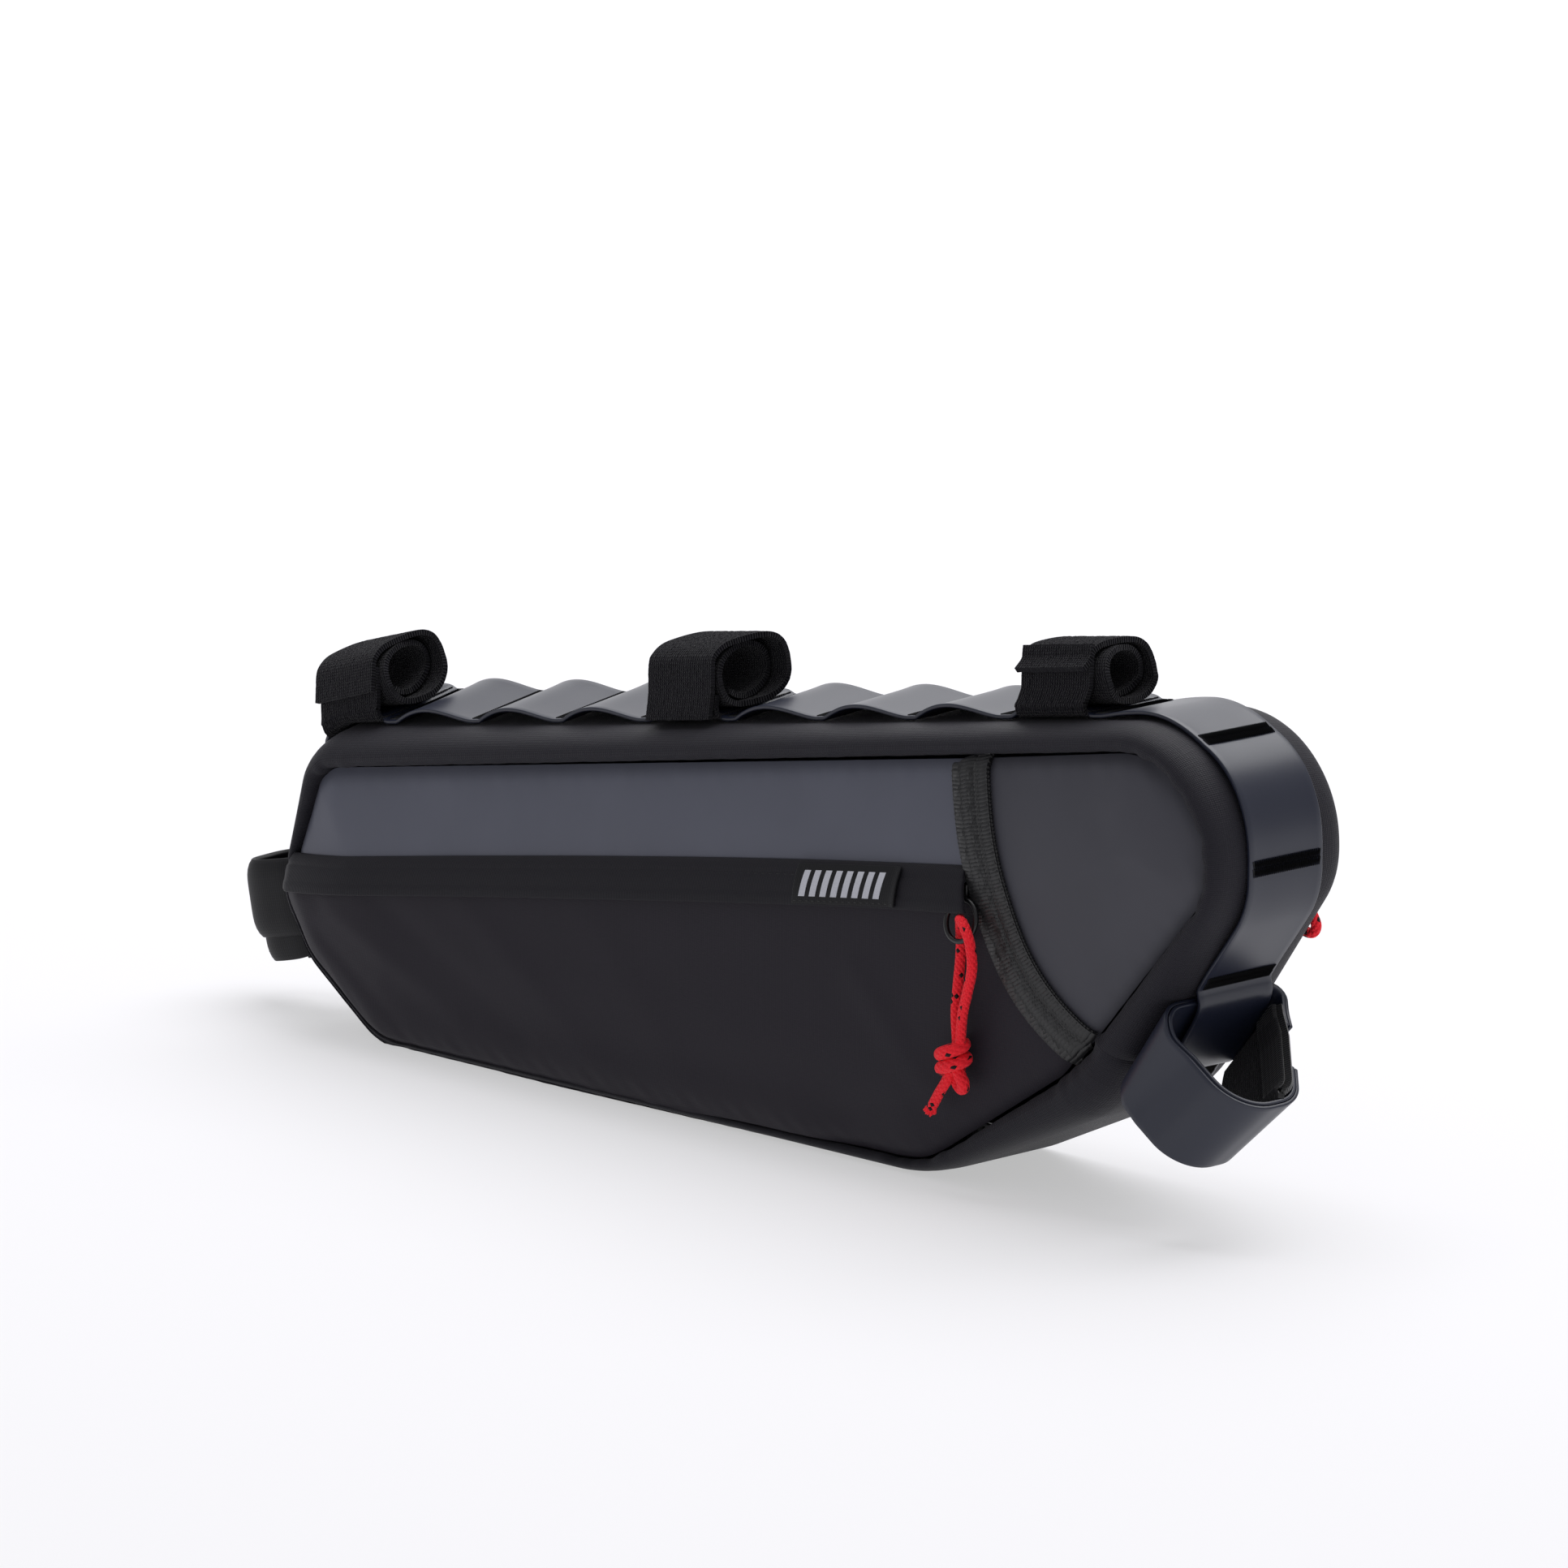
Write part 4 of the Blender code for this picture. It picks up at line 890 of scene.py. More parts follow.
@dataclass
class SidePanels:
    """The cloth panels that close the two faces of the bag."""

    form: BagForm
    wall: float = 0.0015
    rim_dip: float = 0.0016
    rim_reach: float = 0.0024
    lap_low: float = 0.056
    lap_tail: float = 0.262
    lap_rise: float = 0.0016
    lap_tuck: float = 0.0034
    pucker: float = 0.00022
    front_creases: tuple[Crease, ...] = (
        Crease(30, 42, 88, 16, 5.0, 0.55),
        Crease(52, 50, 118, 14, 6.0, -0.45),
        Crease(92, 55, 150, 12, 7.0, 0.40),
        Crease(20, 34, 60, 8, 4.0, -0.50),
        Crease(262, 60, 300, 20, 6.0, 0.50),
        Crease(230, 8, 292, 26, 4.5, -0.45),
        Crease(150, 60, 190, 10, 9.0, 0.25),
    )
    coated_creases: tuple[Crease, ...] = (
        Crease(60, 98, 90, 70, 10.0, -0.25),
        Crease(150, 112, 175, 88, 12.0, 0.22),
        Crease(225, 122, 250, 98, 12.0, -0.20),
        Crease(335, 128, 350, 90, 11.0, 0.30),
        Crease(352, 122, 372, 104, 7.0, -0.30),
    )

    def fold(self, points: Array, creases: Sequence[Crease]) -> Array:
        """Height of the soft folds at side-view points."""
        mm = points * MM
        total = np.zeros(len(points))
        for crease in creases:
            start = np.array((crease.x0, crease.z0))
            step = np.array((crease.x1, crease.z1)) - start
            share = ((mm - start) @ step) / (step @ step)
            gap = np.linalg.norm(mm - start - np.outer(np.clip(share, 0, 1), step), axis=1)
            total += crease.rise / MM * np.exp(-(gap / crease.width) ** 2) * ease(share + 0.6) * ease(1.6 - share)
        return total

    def panel(self, name: str, side: Side, columns: int, rows: int, edges: Sequence[Curve],
              creases: Sequence[Crease], finish: Finish) -> None:
        """A panel between four edges of the side view: bottom, right, top and left."""
        bottom, right, top, left = edges

        def outline(u: Array, v: Array) -> Array:
            uu, vv = u[:, None], v[:, None]
            ruled = bottom(u) * (1 - vv) + top(u) * vv + left(v) * (1 - uu) + right(v) * uu
            ends = np.array((0.0, 1.0))
            low, high = bottom(ends), top(ends)
            return ruled - (low[0] * (1 - uu) + low[1] * uu) * (1 - vv) - (high[0] * (1 - uu) + high[1] * uu) * vv

        def place(u: Array, v: Array) -> Array:
            points = outline(u if side is Side.FRONT else 1 - u, v)
            inside = self.form.inside(points)
            out = self.fold(points, creases) * ease(inside / 0.012)
            low = ease((self.lap_low - points[:, 1]) / 0.014) * ease((self.lap_tail - points[:, 0]) / 0.03)
            out -= self.rim_dip * (1 - low) * np.exp(-(inside / self.rim_reach) ** 2)
            edge = self.form.gap_to(self.form.edge_points, points)
            out += low * self.lap_rise * np.exp(-((inside - 0.006) / 0.008) ** 2)
            out -= low * self.lap_tuck * np.exp(-(edge / 0.0018) ** 2)
            pucker = ripple(points[:, 0] + points[:, 1] * 0.7, 1.3) * self.pucker
            out += pucker * np.exp(-((inside - 0.003) / 0.003) ** 2)
            return self.form.on_side(points, side, out)

        def flat(u: Array, v: Array) -> Array:
            return outline(u if side is Side.FRONT else 1 - u, v) * MM

        cloth_piece(name, (columns, rows), place, flat, self.wall, Grow.IN, 0.0, finish,
                    (name.replace("cloth_", ""),))

    def seam_edge(self, start: float, end: float, over: float = 0.0) -> Curve:
        """An edge along the seam; with over, it laps the band wherever the band hardly turns onto the side."""
        def edge(share: Array) -> Array:
            distance = start + (end - start) * share
            wrap = self.form.wrap(distance)
            lap = over * (wrap + 0.0004) * ease((0.42 - wrap / self.form.band_wrap) / 0.10)
            point, outward = self.form.at(distance)
            return point - outward * (wrap + SEAM_MARGIN - lap)[:, None]
        return edge

    def line_edge(self, line: Curve, start: float, end: float) -> Curve:
        """An edge along a line of the side view."""
        return lambda s: np.column_stack((start + (end - start) * s, line(start + (end - start) * s)))

    def trim_edge(self, start: float, end: float) -> Curve:
        """An edge under the middle of the trim."""
        return lambda s: self.form.trim_line(start + (end - start) * s)

    def build(self) -> None:
        """All five panels."""
        form = self.form
        tail_mid = form.marks["tail_top"] - 0.006
        low_mid = (form.on_run("nose_top", 1.0) + form.marks["nose_low"]) / 2
        tail_chin = form.on_run("bottom_left", 1.0)
        tail_run = form.on_run("tail_low", 0.6)
        high = form.seam_crossing(form.zip_top, -0.02, tail_run, SEAM_MARGIN)
        low = form.seam_crossing(form.zip_low, -0.02, tail_run, SEAM_MARGIN)
        high_x, low_x = (float(form.seam(np.array([d]), SEAM_MARGIN)[0, 0]) for d in (high, low))
        high_share, low_share = form.trim_crossing(form.zip_top, 0.0), form.trim_crossing(form.zip_low, 0.0)
        self.panel("cloth_front_upper_panel", Side.FRONT, 130, 30, (
            self.line_edge(form.zip_top, high_x, float(form.trim_line(high_share)[0, 0])),
            self.trim_edge(high_share, 0.0),
            self.seam_edge(tail_mid, form.trim_top),
            self.seam_edge(high, tail_mid)), self.coated_creases, COATED)
        self.panel("cloth_front_lower_panel", Side.FRONT, 170, 60, (
            self.seam_edge(tail_chin, form.trim_low, 1.0),
            self.trim_edge(1.0, low_share),
            self.line_edge(form.zip_low, low_x, float(form.trim_line(low_share)[0, 0])),
            self.seam_edge(tail_chin, low + form.total, 1.0)), self.front_creases, PANEL_NYLON)
        # The nose panel wears the coated cloth darkened as painted shade.
        self.panel("cloth_nose_panel", Side.FRONT, 50, 60, (
            self.seam_edge(form.trim_low, low_mid),
            self.seam_edge(low_mid, form.nose_middle()),
            self.seam_edge(form.trim_top, form.nose_middle()),
            self.trim_edge(1.0, 0.0)), self.coated_creases, SHADED_NOSE_COATED)
        chin_mid = form.on_run("chin", 0.0)
        low_run = form.on_run("nose_low", 0.3)
        high_end = form.seam_crossing(form.zip_top, form.nose_middle(), low_run, SEAM_MARGIN)
        low_end = form.seam_crossing(form.zip_low, form.nose_middle(), low_run, SEAM_MARGIN)
        high_far, low_far = (float(form.seam(np.array([d]), SEAM_MARGIN)[0, 0]) for d in (high_end, low_end))
        self.panel("cloth_back_upper_panel", Side.BACK, 150, 24, (
            self.line_edge(form.zip_top, high_x, high_far),
            self.seam_edge(high_end, form.nose_middle()),
            self.seam_edge(tail_mid, form.nose_middle()),
            self.seam_edge(high, tail_mid)), self.coated_creases, COATED)
        self.panel("cloth_back_lower_panel", Side.BACK, 150, 50, (
            self.seam_edge(tail_chin, chin_mid, 1.0),
            self.seam_edge(chin_mid, low_end),
            self.line_edge(form.zip_low, low_x, low_far),
            self.seam_edge(tail_chin, low + form.total, 1.0)), self.front_creases, PANEL_NYLON)


@dataclass
class ZipLine:
    """One side's closed zip: tape and coil in the slot, and the stitched flap that hangs over them."""

    form: BagForm
    side: Side
    pull_along: float
    flap_wall: float = 0.0013
    lift: float = 0.0028
    extra_lift: float = 0.0017
    tape_recess: float = 0.0008
    tape_wall: float = 0.0010
    sewn_at: float = 0.74
    stitch: float = 0.0023
    stitch_pitch: float = 0.0031

    @property
    def name(self) -> str:
        """The side's name, as the nodes spell it."""
        return self.side.name.lower()

    def flap_out(self, along: Array, share: Array) -> Array:
        """How far the flap's inner face stands off the panel, at a share of its height from its lower edge."""
        nearness = np.exp(-((along - self.pull_along) / 0.020) ** 2)
        start, _ = self.form.line_span(self.side, self.form.flap_low, 0.0)
        sewn_end = ease((along - start) / 0.006)
        sway = np.sin(along * MM / 21.0) * 0.00018 * (1 - share)
        lift = (self.lift + self.extra_lift * nearness) * (1 - share * share) + sway
        return OFF_BAND + lift * (0.25 + 0.75 * sewn_end)

    def spread(self, low: Curve, high: Curve, inward: float) -> Callable[[Array, Array], Array]:
        """Side-view points of a strip between two lines of the side."""
        low_start, low_end = self.form.line_span(self.side, low, inward)
        high_start, high_end = self.form.line_span(self.side, high, inward)

        def at(u: Array, v: Array) -> Array:
            u = u if self.side is Side.FRONT else 1 - u
            low_x = low_start + (low_end - low_start) * u
            high_x = high_start + (high_end - high_start) * u
            x = low_x * (1 - v) + high_x * v
            return np.column_stack((x, low(low_x) * (1 - v) + high(high_x) * v))
        return at

    def add_tape(self) -> None:
        """The tape and its coil, which show only from below."""
        at = self.spread(self.form.zip_low, self.form.zip_top, 0.0)

        def place(u: Array, v: Array) -> Array:
            coil = np.exp(-((v - 0.5) / 0.18) ** 2) * 0.0007
            return self.form.on_side(at(u, v), self.side, -self.tape_recess + coil)

        cloth_piece(f"zip_coil_{self.name}", (160, 12), place, lambda u, v: at(u, v) * MM, self.tape_wall, Grow.IN,
                    0.0, FLAP_WEBBING, (f"zip_tape_{self.name}",))

    def add_flap(self) -> None:
        """The flap, with a folded hem along its free edge and a stitched groove under its sewn edge."""
        at = self.spread(self.form.flap_low, self.form.flap_top, 0.0)

        def place(u: Array, v: Array) -> Array:
            points = at(u, v)
            hem = 0.00030 * (1 - ease((v - 0.20) / 0.08))
            groove = 0.00035 * np.exp(-((v - self.sewn_at) / 0.05) ** 2)
            roll = 0.0009 * ease((v - 0.90) / 0.10)
            return self.form.on_side(points, self.side, self.flap_out(points[:, 0], v) + hem - groove - roll)

        cloth_piece(f"sewn_flap_{self.name}", (200, 18), place, lambda u, v: at(u, v) * MM, self.flap_wall, Grow.OUT,
                    0.00035, FLAP_WEBBING, (f"zip_flap_{self.name}",))

    def add_stitches(self) -> None:
        """The row of stitches under the flap's sewn edge."""
        start, end = self.form.line_span(self.side, self.form.flap_top, 0.0)
        along = np.arange(start + 0.002, end - 0.002, self.stitch_pitch)

        def seam_at(x: Array, out: float) -> Array:
            points = np.column_stack((x, self.form.flap_low(x) + self.form.flap_height * self.sewn_at))
            lifted = self.flap_out(x, np.full(len(x), self.sewn_at)) + self.flap_wall + out
            return self.form.on_side(points, self.side, lifted)

        places = seam_at(along, -0.00022)
        ways = seam_at(along + 0.001, -0.00022) - places
        outs = seam_at(along, 0.001) - places
        piece = sewn_stitches(f"flap_stitches_{self.name}", places, ways, outs, self.stitch, 0.00021)
        THREAD.dress(piece)
        report_piece(piece)

    def build(self) -> None:
        """Tape, flap, stitches and the slider's finish."""
        self.add_tape()
        self.add_flap()
        self.add_stitches()
        PAINTED_METAL.dress(bpy.data.objects[f"zip_slider_{self.name}"])


@dataclass
class WovenLabel:
    """The bare woven label that is folded over the front flap; plain slanted bars stand in its middle."""

    form: BagForm
    flap: ZipLine
    width: float = 0.043
    height: float = 0.0112
    along: float = 0.6575
    wall: float = 0.0006
    bars: int = 8
    stitches: int = 17

    def at(self, u: Array, v: Array, out: float) -> Array:
        """A place on the label or a distance out from it."""
        x = self.along * self.form.length + self.width * (u - 0.5)
        share = 1 - (1 - v) * self.height / self.form.flap_height
        points = np.column_stack((x, self.form.flap_low(x) + self.form.flap_height * share))
        lifted = self.flap.flap_out(x, share) + self.flap.flap_wall + 0.0003 + out
        lifted += 0.0004 * np.exp(-((u - 1.0) / 0.03) ** 2)
        return self.form.on_side(points, Side.FRONT, lifted)

    def build(self) -> None:
        """The label, its bars and its stitches."""
        cloth_piece("woven_label", (48, 16), lambda u, v: self.at(u, v, 0.0),
                    lambda u, v: np.column_stack((u * self.width * MM, v * self.height * MM)), self.wall, Grow.OUT,
                    0.0002, STRAP_WEBBING, ("label_tab",))
        for index in range(self.bars):
            left = 0.065 + index * 0.103

            def bar(u: Array, v: Array, left: float = left) -> Array:
                return self.at(left + u * 0.058 + v * 0.022, 0.20 + v * 0.66, self.wall - 0.00005)

            cloth_piece(f"label_bar_{index}", (4, 8), bar, lambda u, v: np.column_stack((u * 2.6, v * 8.0)), 0.00016,
                        Grow.OUT, 0.0, LABEL_WEFT)
        shares = np.linspace(0.03, 0.97, self.stitches)
        row = np.full(self.stitches, 0.08)
        places = self.at(shares, row, self.wall - 0.00005)
        outs = self.at(shares, row, 0.002) - places
        ways = self.at(shares + 0.01, row, self.wall) - places
        stitches = sewn_stitches("label_stitches", places, ways, outs, 0.0016, 0.00016)
        THREAD.dress(stitches)
        report_piece(stitches)


@dataclass
class WebbingTrim:
    """The ribbed trim over the join between the nose panel and the panels behind it."""

    form: BagForm
    wall: float = 0.0013
    rib: float = 0.00112
    rib_rise: float = 0.00030
    stitch_at: float = 0.62

    def at(self, share: Array, across: Array, out: Array | float) -> Array:
        """A place on the trim: share from its top end, across from -0.5 to 0.5."""
        points = self.form.trim_line(share, across * self.form.trim_width)
        inside = self.form.inside(points)
        sunk = 0.0022 * np.exp(-(inside / 0.0022) ** 2)
        return self.form.on_side(points, Side.FRONT, OFF_BAND + out - sunk)

    def build(self) -> None:
        """The ribbed tape and the two rows of stitches that hold it."""
        even = np.linspace(0, 1, 80)
        lengths = path_lengths(self.form.trim_line(even))
        length = float(lengths[-1])
        lengths = lengths / length

        def place(u: Array, v: Array) -> Array:
            share = np.interp(1 - v, lengths, even)
            slant = ease(np.abs(u - 0.35) * 2.0) * 0.0012 * np.sign(u - 0.35)
            ribs = np.sin(2 * math.pi * ((1 - v) * length - slant) / self.rib)
            ribs *= 1 - 0.7 * np.exp(-((u - 0.965) / 0.03) ** 2)
            groove = 0.00045 * np.exp(-((u - self.stitch_at) / 0.035) ** 2)
            crown = 0.00035 * (1 - (2 * u - 1) ** 4)
            return self.at(share, u - 0.5, ribs * self.rib_rise + crown - groove)

        cloth_piece("ribbed_trim", (22, 560), place, lambda u, v: np.column_stack((v * length * MM, u * 13.5)),
                    self.wall, Grow.OUT, 0.0, GROSGRAIN, ("webbing_trim",))
        shares = np.interp(np.arange(0.003, length - 0.003, 0.0028) / length, lengths, even)
        for row, across in (("inner", self.stitch_at - 0.5), ("outer", 0.455)):
            side = np.full(len(shares), across)
            places = self.at(shares, side, self.wall + 0.00005)
            ways = self.at(shares + 0.005, side, self.wall) - places
            outs = self.at(shares, side, self.wall + 0.002) - places
            stitches = sewn_stitches(f"trim_stitches_{row}", places, ways, outs, 0.0020, 0.00020)
            THREAD.dress(stitches)
            report_piece(stitches)


@dataclass(frozen=True)
class Cell:
    """One cell of the daisy chain: where it starts along the outline, its length, its rise and whether it is used."""

    start: float
    length: float
    rise: float
    threaded: bool


@dataclass
class DaisyChain:
    """The strip of sheeting that arches between its rows of bar tacks, over the top and round the nose."""

    form: BagForm
    width: float = 0.030
    wall: float = 0.0012
    top_pitch: float = 0.0380
    nose_pitch: float = 0.0395
    arch: float = 0.0035
    landing: float = 0.0020
    skew: float = 0.72
    nose_rise: float = 0.0009
    strap_rise: float = 0.0019
    loop_rise: float = 0.0042
    threaded: tuple[int, ...] = (0, 4, 8)
    tack_turns: int = 36
    tack_offset: float = 0.00110
    tack_swing: float = 0.00105
    thread: float = 0.00026
    cells: list[Cell] = field(default_factory=list)

    def __post_init__(self) -> None:
        """Works out the cells from the tail to the chin."""
        last = self.form.solve(lambda d: self.form.at(np.array([d]))[0][0, 0] - 0.8590 * self.form.length,
                               self.form.marks["tail_top"], self.form.on_run("tail_top", 1.0))
        for index in range(9):
            used = index in self.threaded
            self.cells.append(Cell(last + (index - 9) * self.top_pitch, self.top_pitch,
                                   self.strap_rise if used else self.arch, used))
        for index in range(4):
            used = index == 3
            self.cells.append(Cell(last + index * self.nose_pitch, self.nose_pitch,
                                   self.loop_rise if used else self.nose_rise, used))

    def height(self, distance: Array) -> Array:
        """How far the strip's under face stands off the band."""
        out = np.zeros(len(distance))
        for cell in self.cells:
            landing = self.landing / cell.length
            share = np.clip(((distance - cell.start) / cell.length - landing) / (1 - 2 * landing), 0.0, 1.0)
            if cell.threaded:
                arch = (1 - np.abs(2 * share - 1) ** 5) * ease(share * 8) * ease((1 - share) * 8)
            else:
                arch = np.sin(math.pi * share ** self.skew) ** 1.3
            out = np.maximum(out, cell.rise * arch)
        return out + OFF_BAND

    def add_strip(self) -> None:
        """The strip itself."""
        start = self.cells[0].start - 0.0025
        end = self.cells[-1].start + self.cells[-1].length + 0.0025

        def place(u: Array, v: Array) -> Array:
            distance = start + (end - start) * u
            across = v - 0.5
            cup = 0.00025 * (2 * np.abs(across)) ** 4
            return self.form.on_band(distance, across * self.width, self.height(distance) + cup)

        cloth_piece("daisy_chain_strip", (420, 14), place,
                    lambda u, v: np.column_stack((u * (end - start) * MM, v * self.width * MM)), self.wall, Grow.OUT,
                    0.0003, SHEETING, ("accessory_strip",))

    def add_tacks(self) -> None:
        """A double row of dense zigzag stitches at each end of every cell."""
        points = self.tack_turns * 2 + 1
        swing = np.where(np.arange(points) % 2 == 0, -self.tack_swing, self.tack_swing)
        depth = np.linspace(-0.5, 0.5, points) * (self.width - 0.0025)
        ends = [cell.start for cell in self.cells] + [self.cells[-1].start + self.cells[-1].length]
        for number, middle in enumerate(ends):
            for row, offset in (("a", -self.tack_offset), ("b", self.tack_offset)):
                distance = middle + offset + swing
                path = self.form.on_band(distance, depth, self.height(distance) + self.wall + self.thread)
                thread = tube_mesh(f"bar_tack_{number:02d}{row}", path, self.thread, 5)
                THREAD.dress(thread)
                report_piece(thread)

    def build(self) -> None:
        """The strip and its tacks."""
        self.add_strip()
        self.add_tacks()


@dataclass(frozen=True)
class Roll:
    """A rolled strap: its node, cell, depth, height, shifts, and how high its outer end lies."""

    node: str
    cell: int
    depth: float
    height: float
    forward: float
    slide: float
    end_up: float


@dataclass
class RolledStraps:
    """The three hook-and-loop straps that are threaded under a cell and rolled up on top."""

    form: BagForm
    chain: DaisyChain
    width: float = 0.0272
    wall: float = 0.0017
    turn_step: float = 0.0020
    slack: float = 0.0008
    turns: float = 1.92
    join: float = 0.06
    flare: float = 0.0060
    shift: float = 0.0014
    sink: float = 0.0021
    grain: float = 0.00062
    rows: int = 40
    tuft: float = 0.00014
    flare_at: float = 0.052
    rolls: tuple[Roll, ...] = (
        Roll("top_strap_tail", 0, 0.0275, 0.0215, 0.0036, 0.0012, 0.0100),
        Roll("top_strap_middle", 4, 0.0290, 0.0228, 0.0046, 0.0012, 0.0022),
        Roll("top_strap_nose", 8, 0.0262, 0.0208, 0.0034, 0.0030, 0.0150),
    )

    def lay(self, name: str, centre: float, path: Array, lift: Callable[[Array], Array], flare: float,
            nodes: Sequence[str] = ()) -> bpy.types.Object:
        """Lays a strap's cloth along a path of depth and height over the band, with its loops standing up."""
        length = float(path_lengths(path)[-1])
        columns = round(length / self.grain)
        rng = np.random.default_rng(7)
        tufts = rng.uniform(-1.0, 1.0, (columns + 1, self.rows + 1))

        def place(u: Array, v: Array) -> Array:
            row = along_path(path, u)
            ahead = along_path(path, np.clip(u + 0.002, 0, 1)) - along_path(path, np.clip(u - 0.002, 0, 1))
            ahead /= np.linalg.norm(ahead, axis=1)[:, None]
            normal = np.column_stack((-ahead[:, 1], ahead[:, 0]))
            tuft = tufts[np.rint(u * columns).astype(int), np.rint(v * self.rows).astype(int)]
            edge = ease((0.5 - np.abs(v - 0.5)) / 0.06)
            row = row + normal * (tuft * self.tuft * edge)[:, None]
            along = (v - 0.5) * (self.width + tuft * 0.0001) + lift(row[:, 1]) + self.shift
            along += flare * np.exp(-((u * length / self.flare_at - 1.0) / 0.42) ** 2)
            return self.form.on_strap(centre, along, row[:, 0], row[:, 1])

        return cloth_piece(name, (columns, self.rows), place, lambda u, v: np.column_stack((u * length * MM, v * 25.0)),
                           self.wall, Grow.MIDDLE, 0.0, PILE, nodes)

    def roll_paths(self, roll: Roll) -> tuple[Array, Array, float]:
        """The strap's rise from under the cell, the roll that its outer end starts, and the roll's floor."""
        cell = self.chain.cells[roll.cell]
        lowest = OFF_BAND + self.wall / 2 + 0.0005
        floor = OFF_BAND + cell.rise + 0.0016 + self.wall / 2 - self.sink
        middle = np.array((-roll.forward, floor + roll.height / 2 - self.wall / 2))
        radii = np.array((roll.depth / 2 - self.wall / 2, roll.height / 2 - self.wall / 2))
        front = middle[0] - radii[0]
        rise = smooth_curve((
            (0.014, lowest), (0.0, lowest), (-0.0125, lowest), (-0.0160, lowest + 0.0012), (-0.0168, lowest + 0.0042),
            (-0.0167, floor + 0.002), (front + 0.0014, roll.end_up + 0.0030),
            (front + 0.0022, roll.end_up + 0.0065)), 0.0006)
        start = (min(front, -0.0168) - 0.0012, roll.end_up)
        spiral = []
        for turned in np.arange(self.join, self.turns, 0.012):
            angle = math.pi - 2 * math.pi * turned
            shrink = self.turn_step * turned
            square = 0.60 + 0.40 * float(ease(np.array(turned / 1.7)))
            across = math.copysign(abs(math.cos(angle)) ** square, math.cos(angle))
            up = math.copysign(abs(math.sin(angle)) ** square, math.sin(angle))
            spiral.append((middle[0] + (radii[0] - shrink - self.slack * turned) * across,
                           middle[1] + (radii[1] - shrink) * up))
        lead = [start]
        if roll.end_up < middle[1] - 0.003:
            lead.append((front - 0.0003, (roll.end_up + middle[1]) / 2 + 0.002))
        outer = smooth_curve(lead + spiral[::4], 0.0006)
        return rise, outer, floor

    def build(self) -> None:
        """All three straps, each as a rise and a roll."""
        for roll in self.rolls:
            cell = self.chain.cells[roll.cell]
            centre = cell.start + cell.length / 2
            rise, outer, floor = self.roll_paths(roll)

            def lift(out: Array, floor: float = floor, roll: Roll = roll) -> Array:
                return roll.slide * np.clip((out - floor) / (roll.height / 3), 0.0, 1.0)

            self.lay(f"rolled_{roll.node}", centre, outer, lift, self.flare, (roll.node,))
            self.lay(f"rising_{roll.node}", centre, rise, lift, 0.0)


@dataclass
class TailStrap:
    """The smooth seat tube strap, folded flat into a roll behind the tail; its inner turns have slipped down."""

    form: BagForm
    width: float = 0.025
    wall: float = 0.0020
    depth: float = 0.0270
    out: float = 0.0360
    before: float = 0.0098
    lower: float = 0.0045
    off_centre: float = 0.0025
    turn_step: float = 0.0027
    turns: float = 2.3
    slip: float = 0.0080
    cushion: float = 0.16
    further: float = 0.0022

    def build(self) -> None:
        """The folded strap."""
        centre = self.form.marks["tail_low"] - self.before
        middle = (-self.off_centre, self.out / 2 + OFF_BAND)
        radii = ((self.depth - self.wall) / 2, (self.out - self.wall) / 2)
        rows = []
        for turned in np.arange(0.0, self.turns, 0.008):
            angle = -math.pi / 2 + 0.7 - 2 * math.pi * turned
            shrink = self.turn_step * turned
            across = math.copysign(abs(math.cos(angle)) ** 0.62, math.cos(angle)) * (radii[0] - shrink)
            out = math.copysign(abs(math.sin(angle)) ** 0.72, math.sin(angle)) * (radii[1] - shrink)
            slip = self.slip * float(ease(np.array((turned - 0.8) / 0.6)))
            rows.append((middle[0] + across, middle[1] + out, slip))
        path = even_steps(np.array(rows), 0.0009)
        point, outward = self.form.at(np.array([centre]))
        heading = np.array((outward[0, 1], -outward[0, 0]))

        def place(u: Array, v: Array) -> Array:
            row = along_path(path, u)
            reach = (v - 0.5) * self.width - self.lower - row[:, 2]
            shrink = 1 - self.cushion * np.abs(2 * v - 1) ** 5
            out = middle[1] + (row[:, 1] - middle[1]) * shrink + self.further * ease(row[:, 1] / self.out)
            base = point + np.outer(reach, heading) + np.outer(out, outward[0])
            depth = middle[0] + (row[:, 0] - middle[0]) * shrink
            return self.form.settled(np.column_stack((base[:, 0], depth, base[:, 1])))

        length = float(path_lengths(path[:, :2])[-1])
        cloth_piece("folded_tail_strap", (len(path) - 1, 16), place,
                    lambda u, v: np.column_stack((u * length * MM, v * self.width * MM)), self.wall, Grow.MIDDLE,
                    0.0005, STRAP_WEBBING, ("seat_tube_strap",))


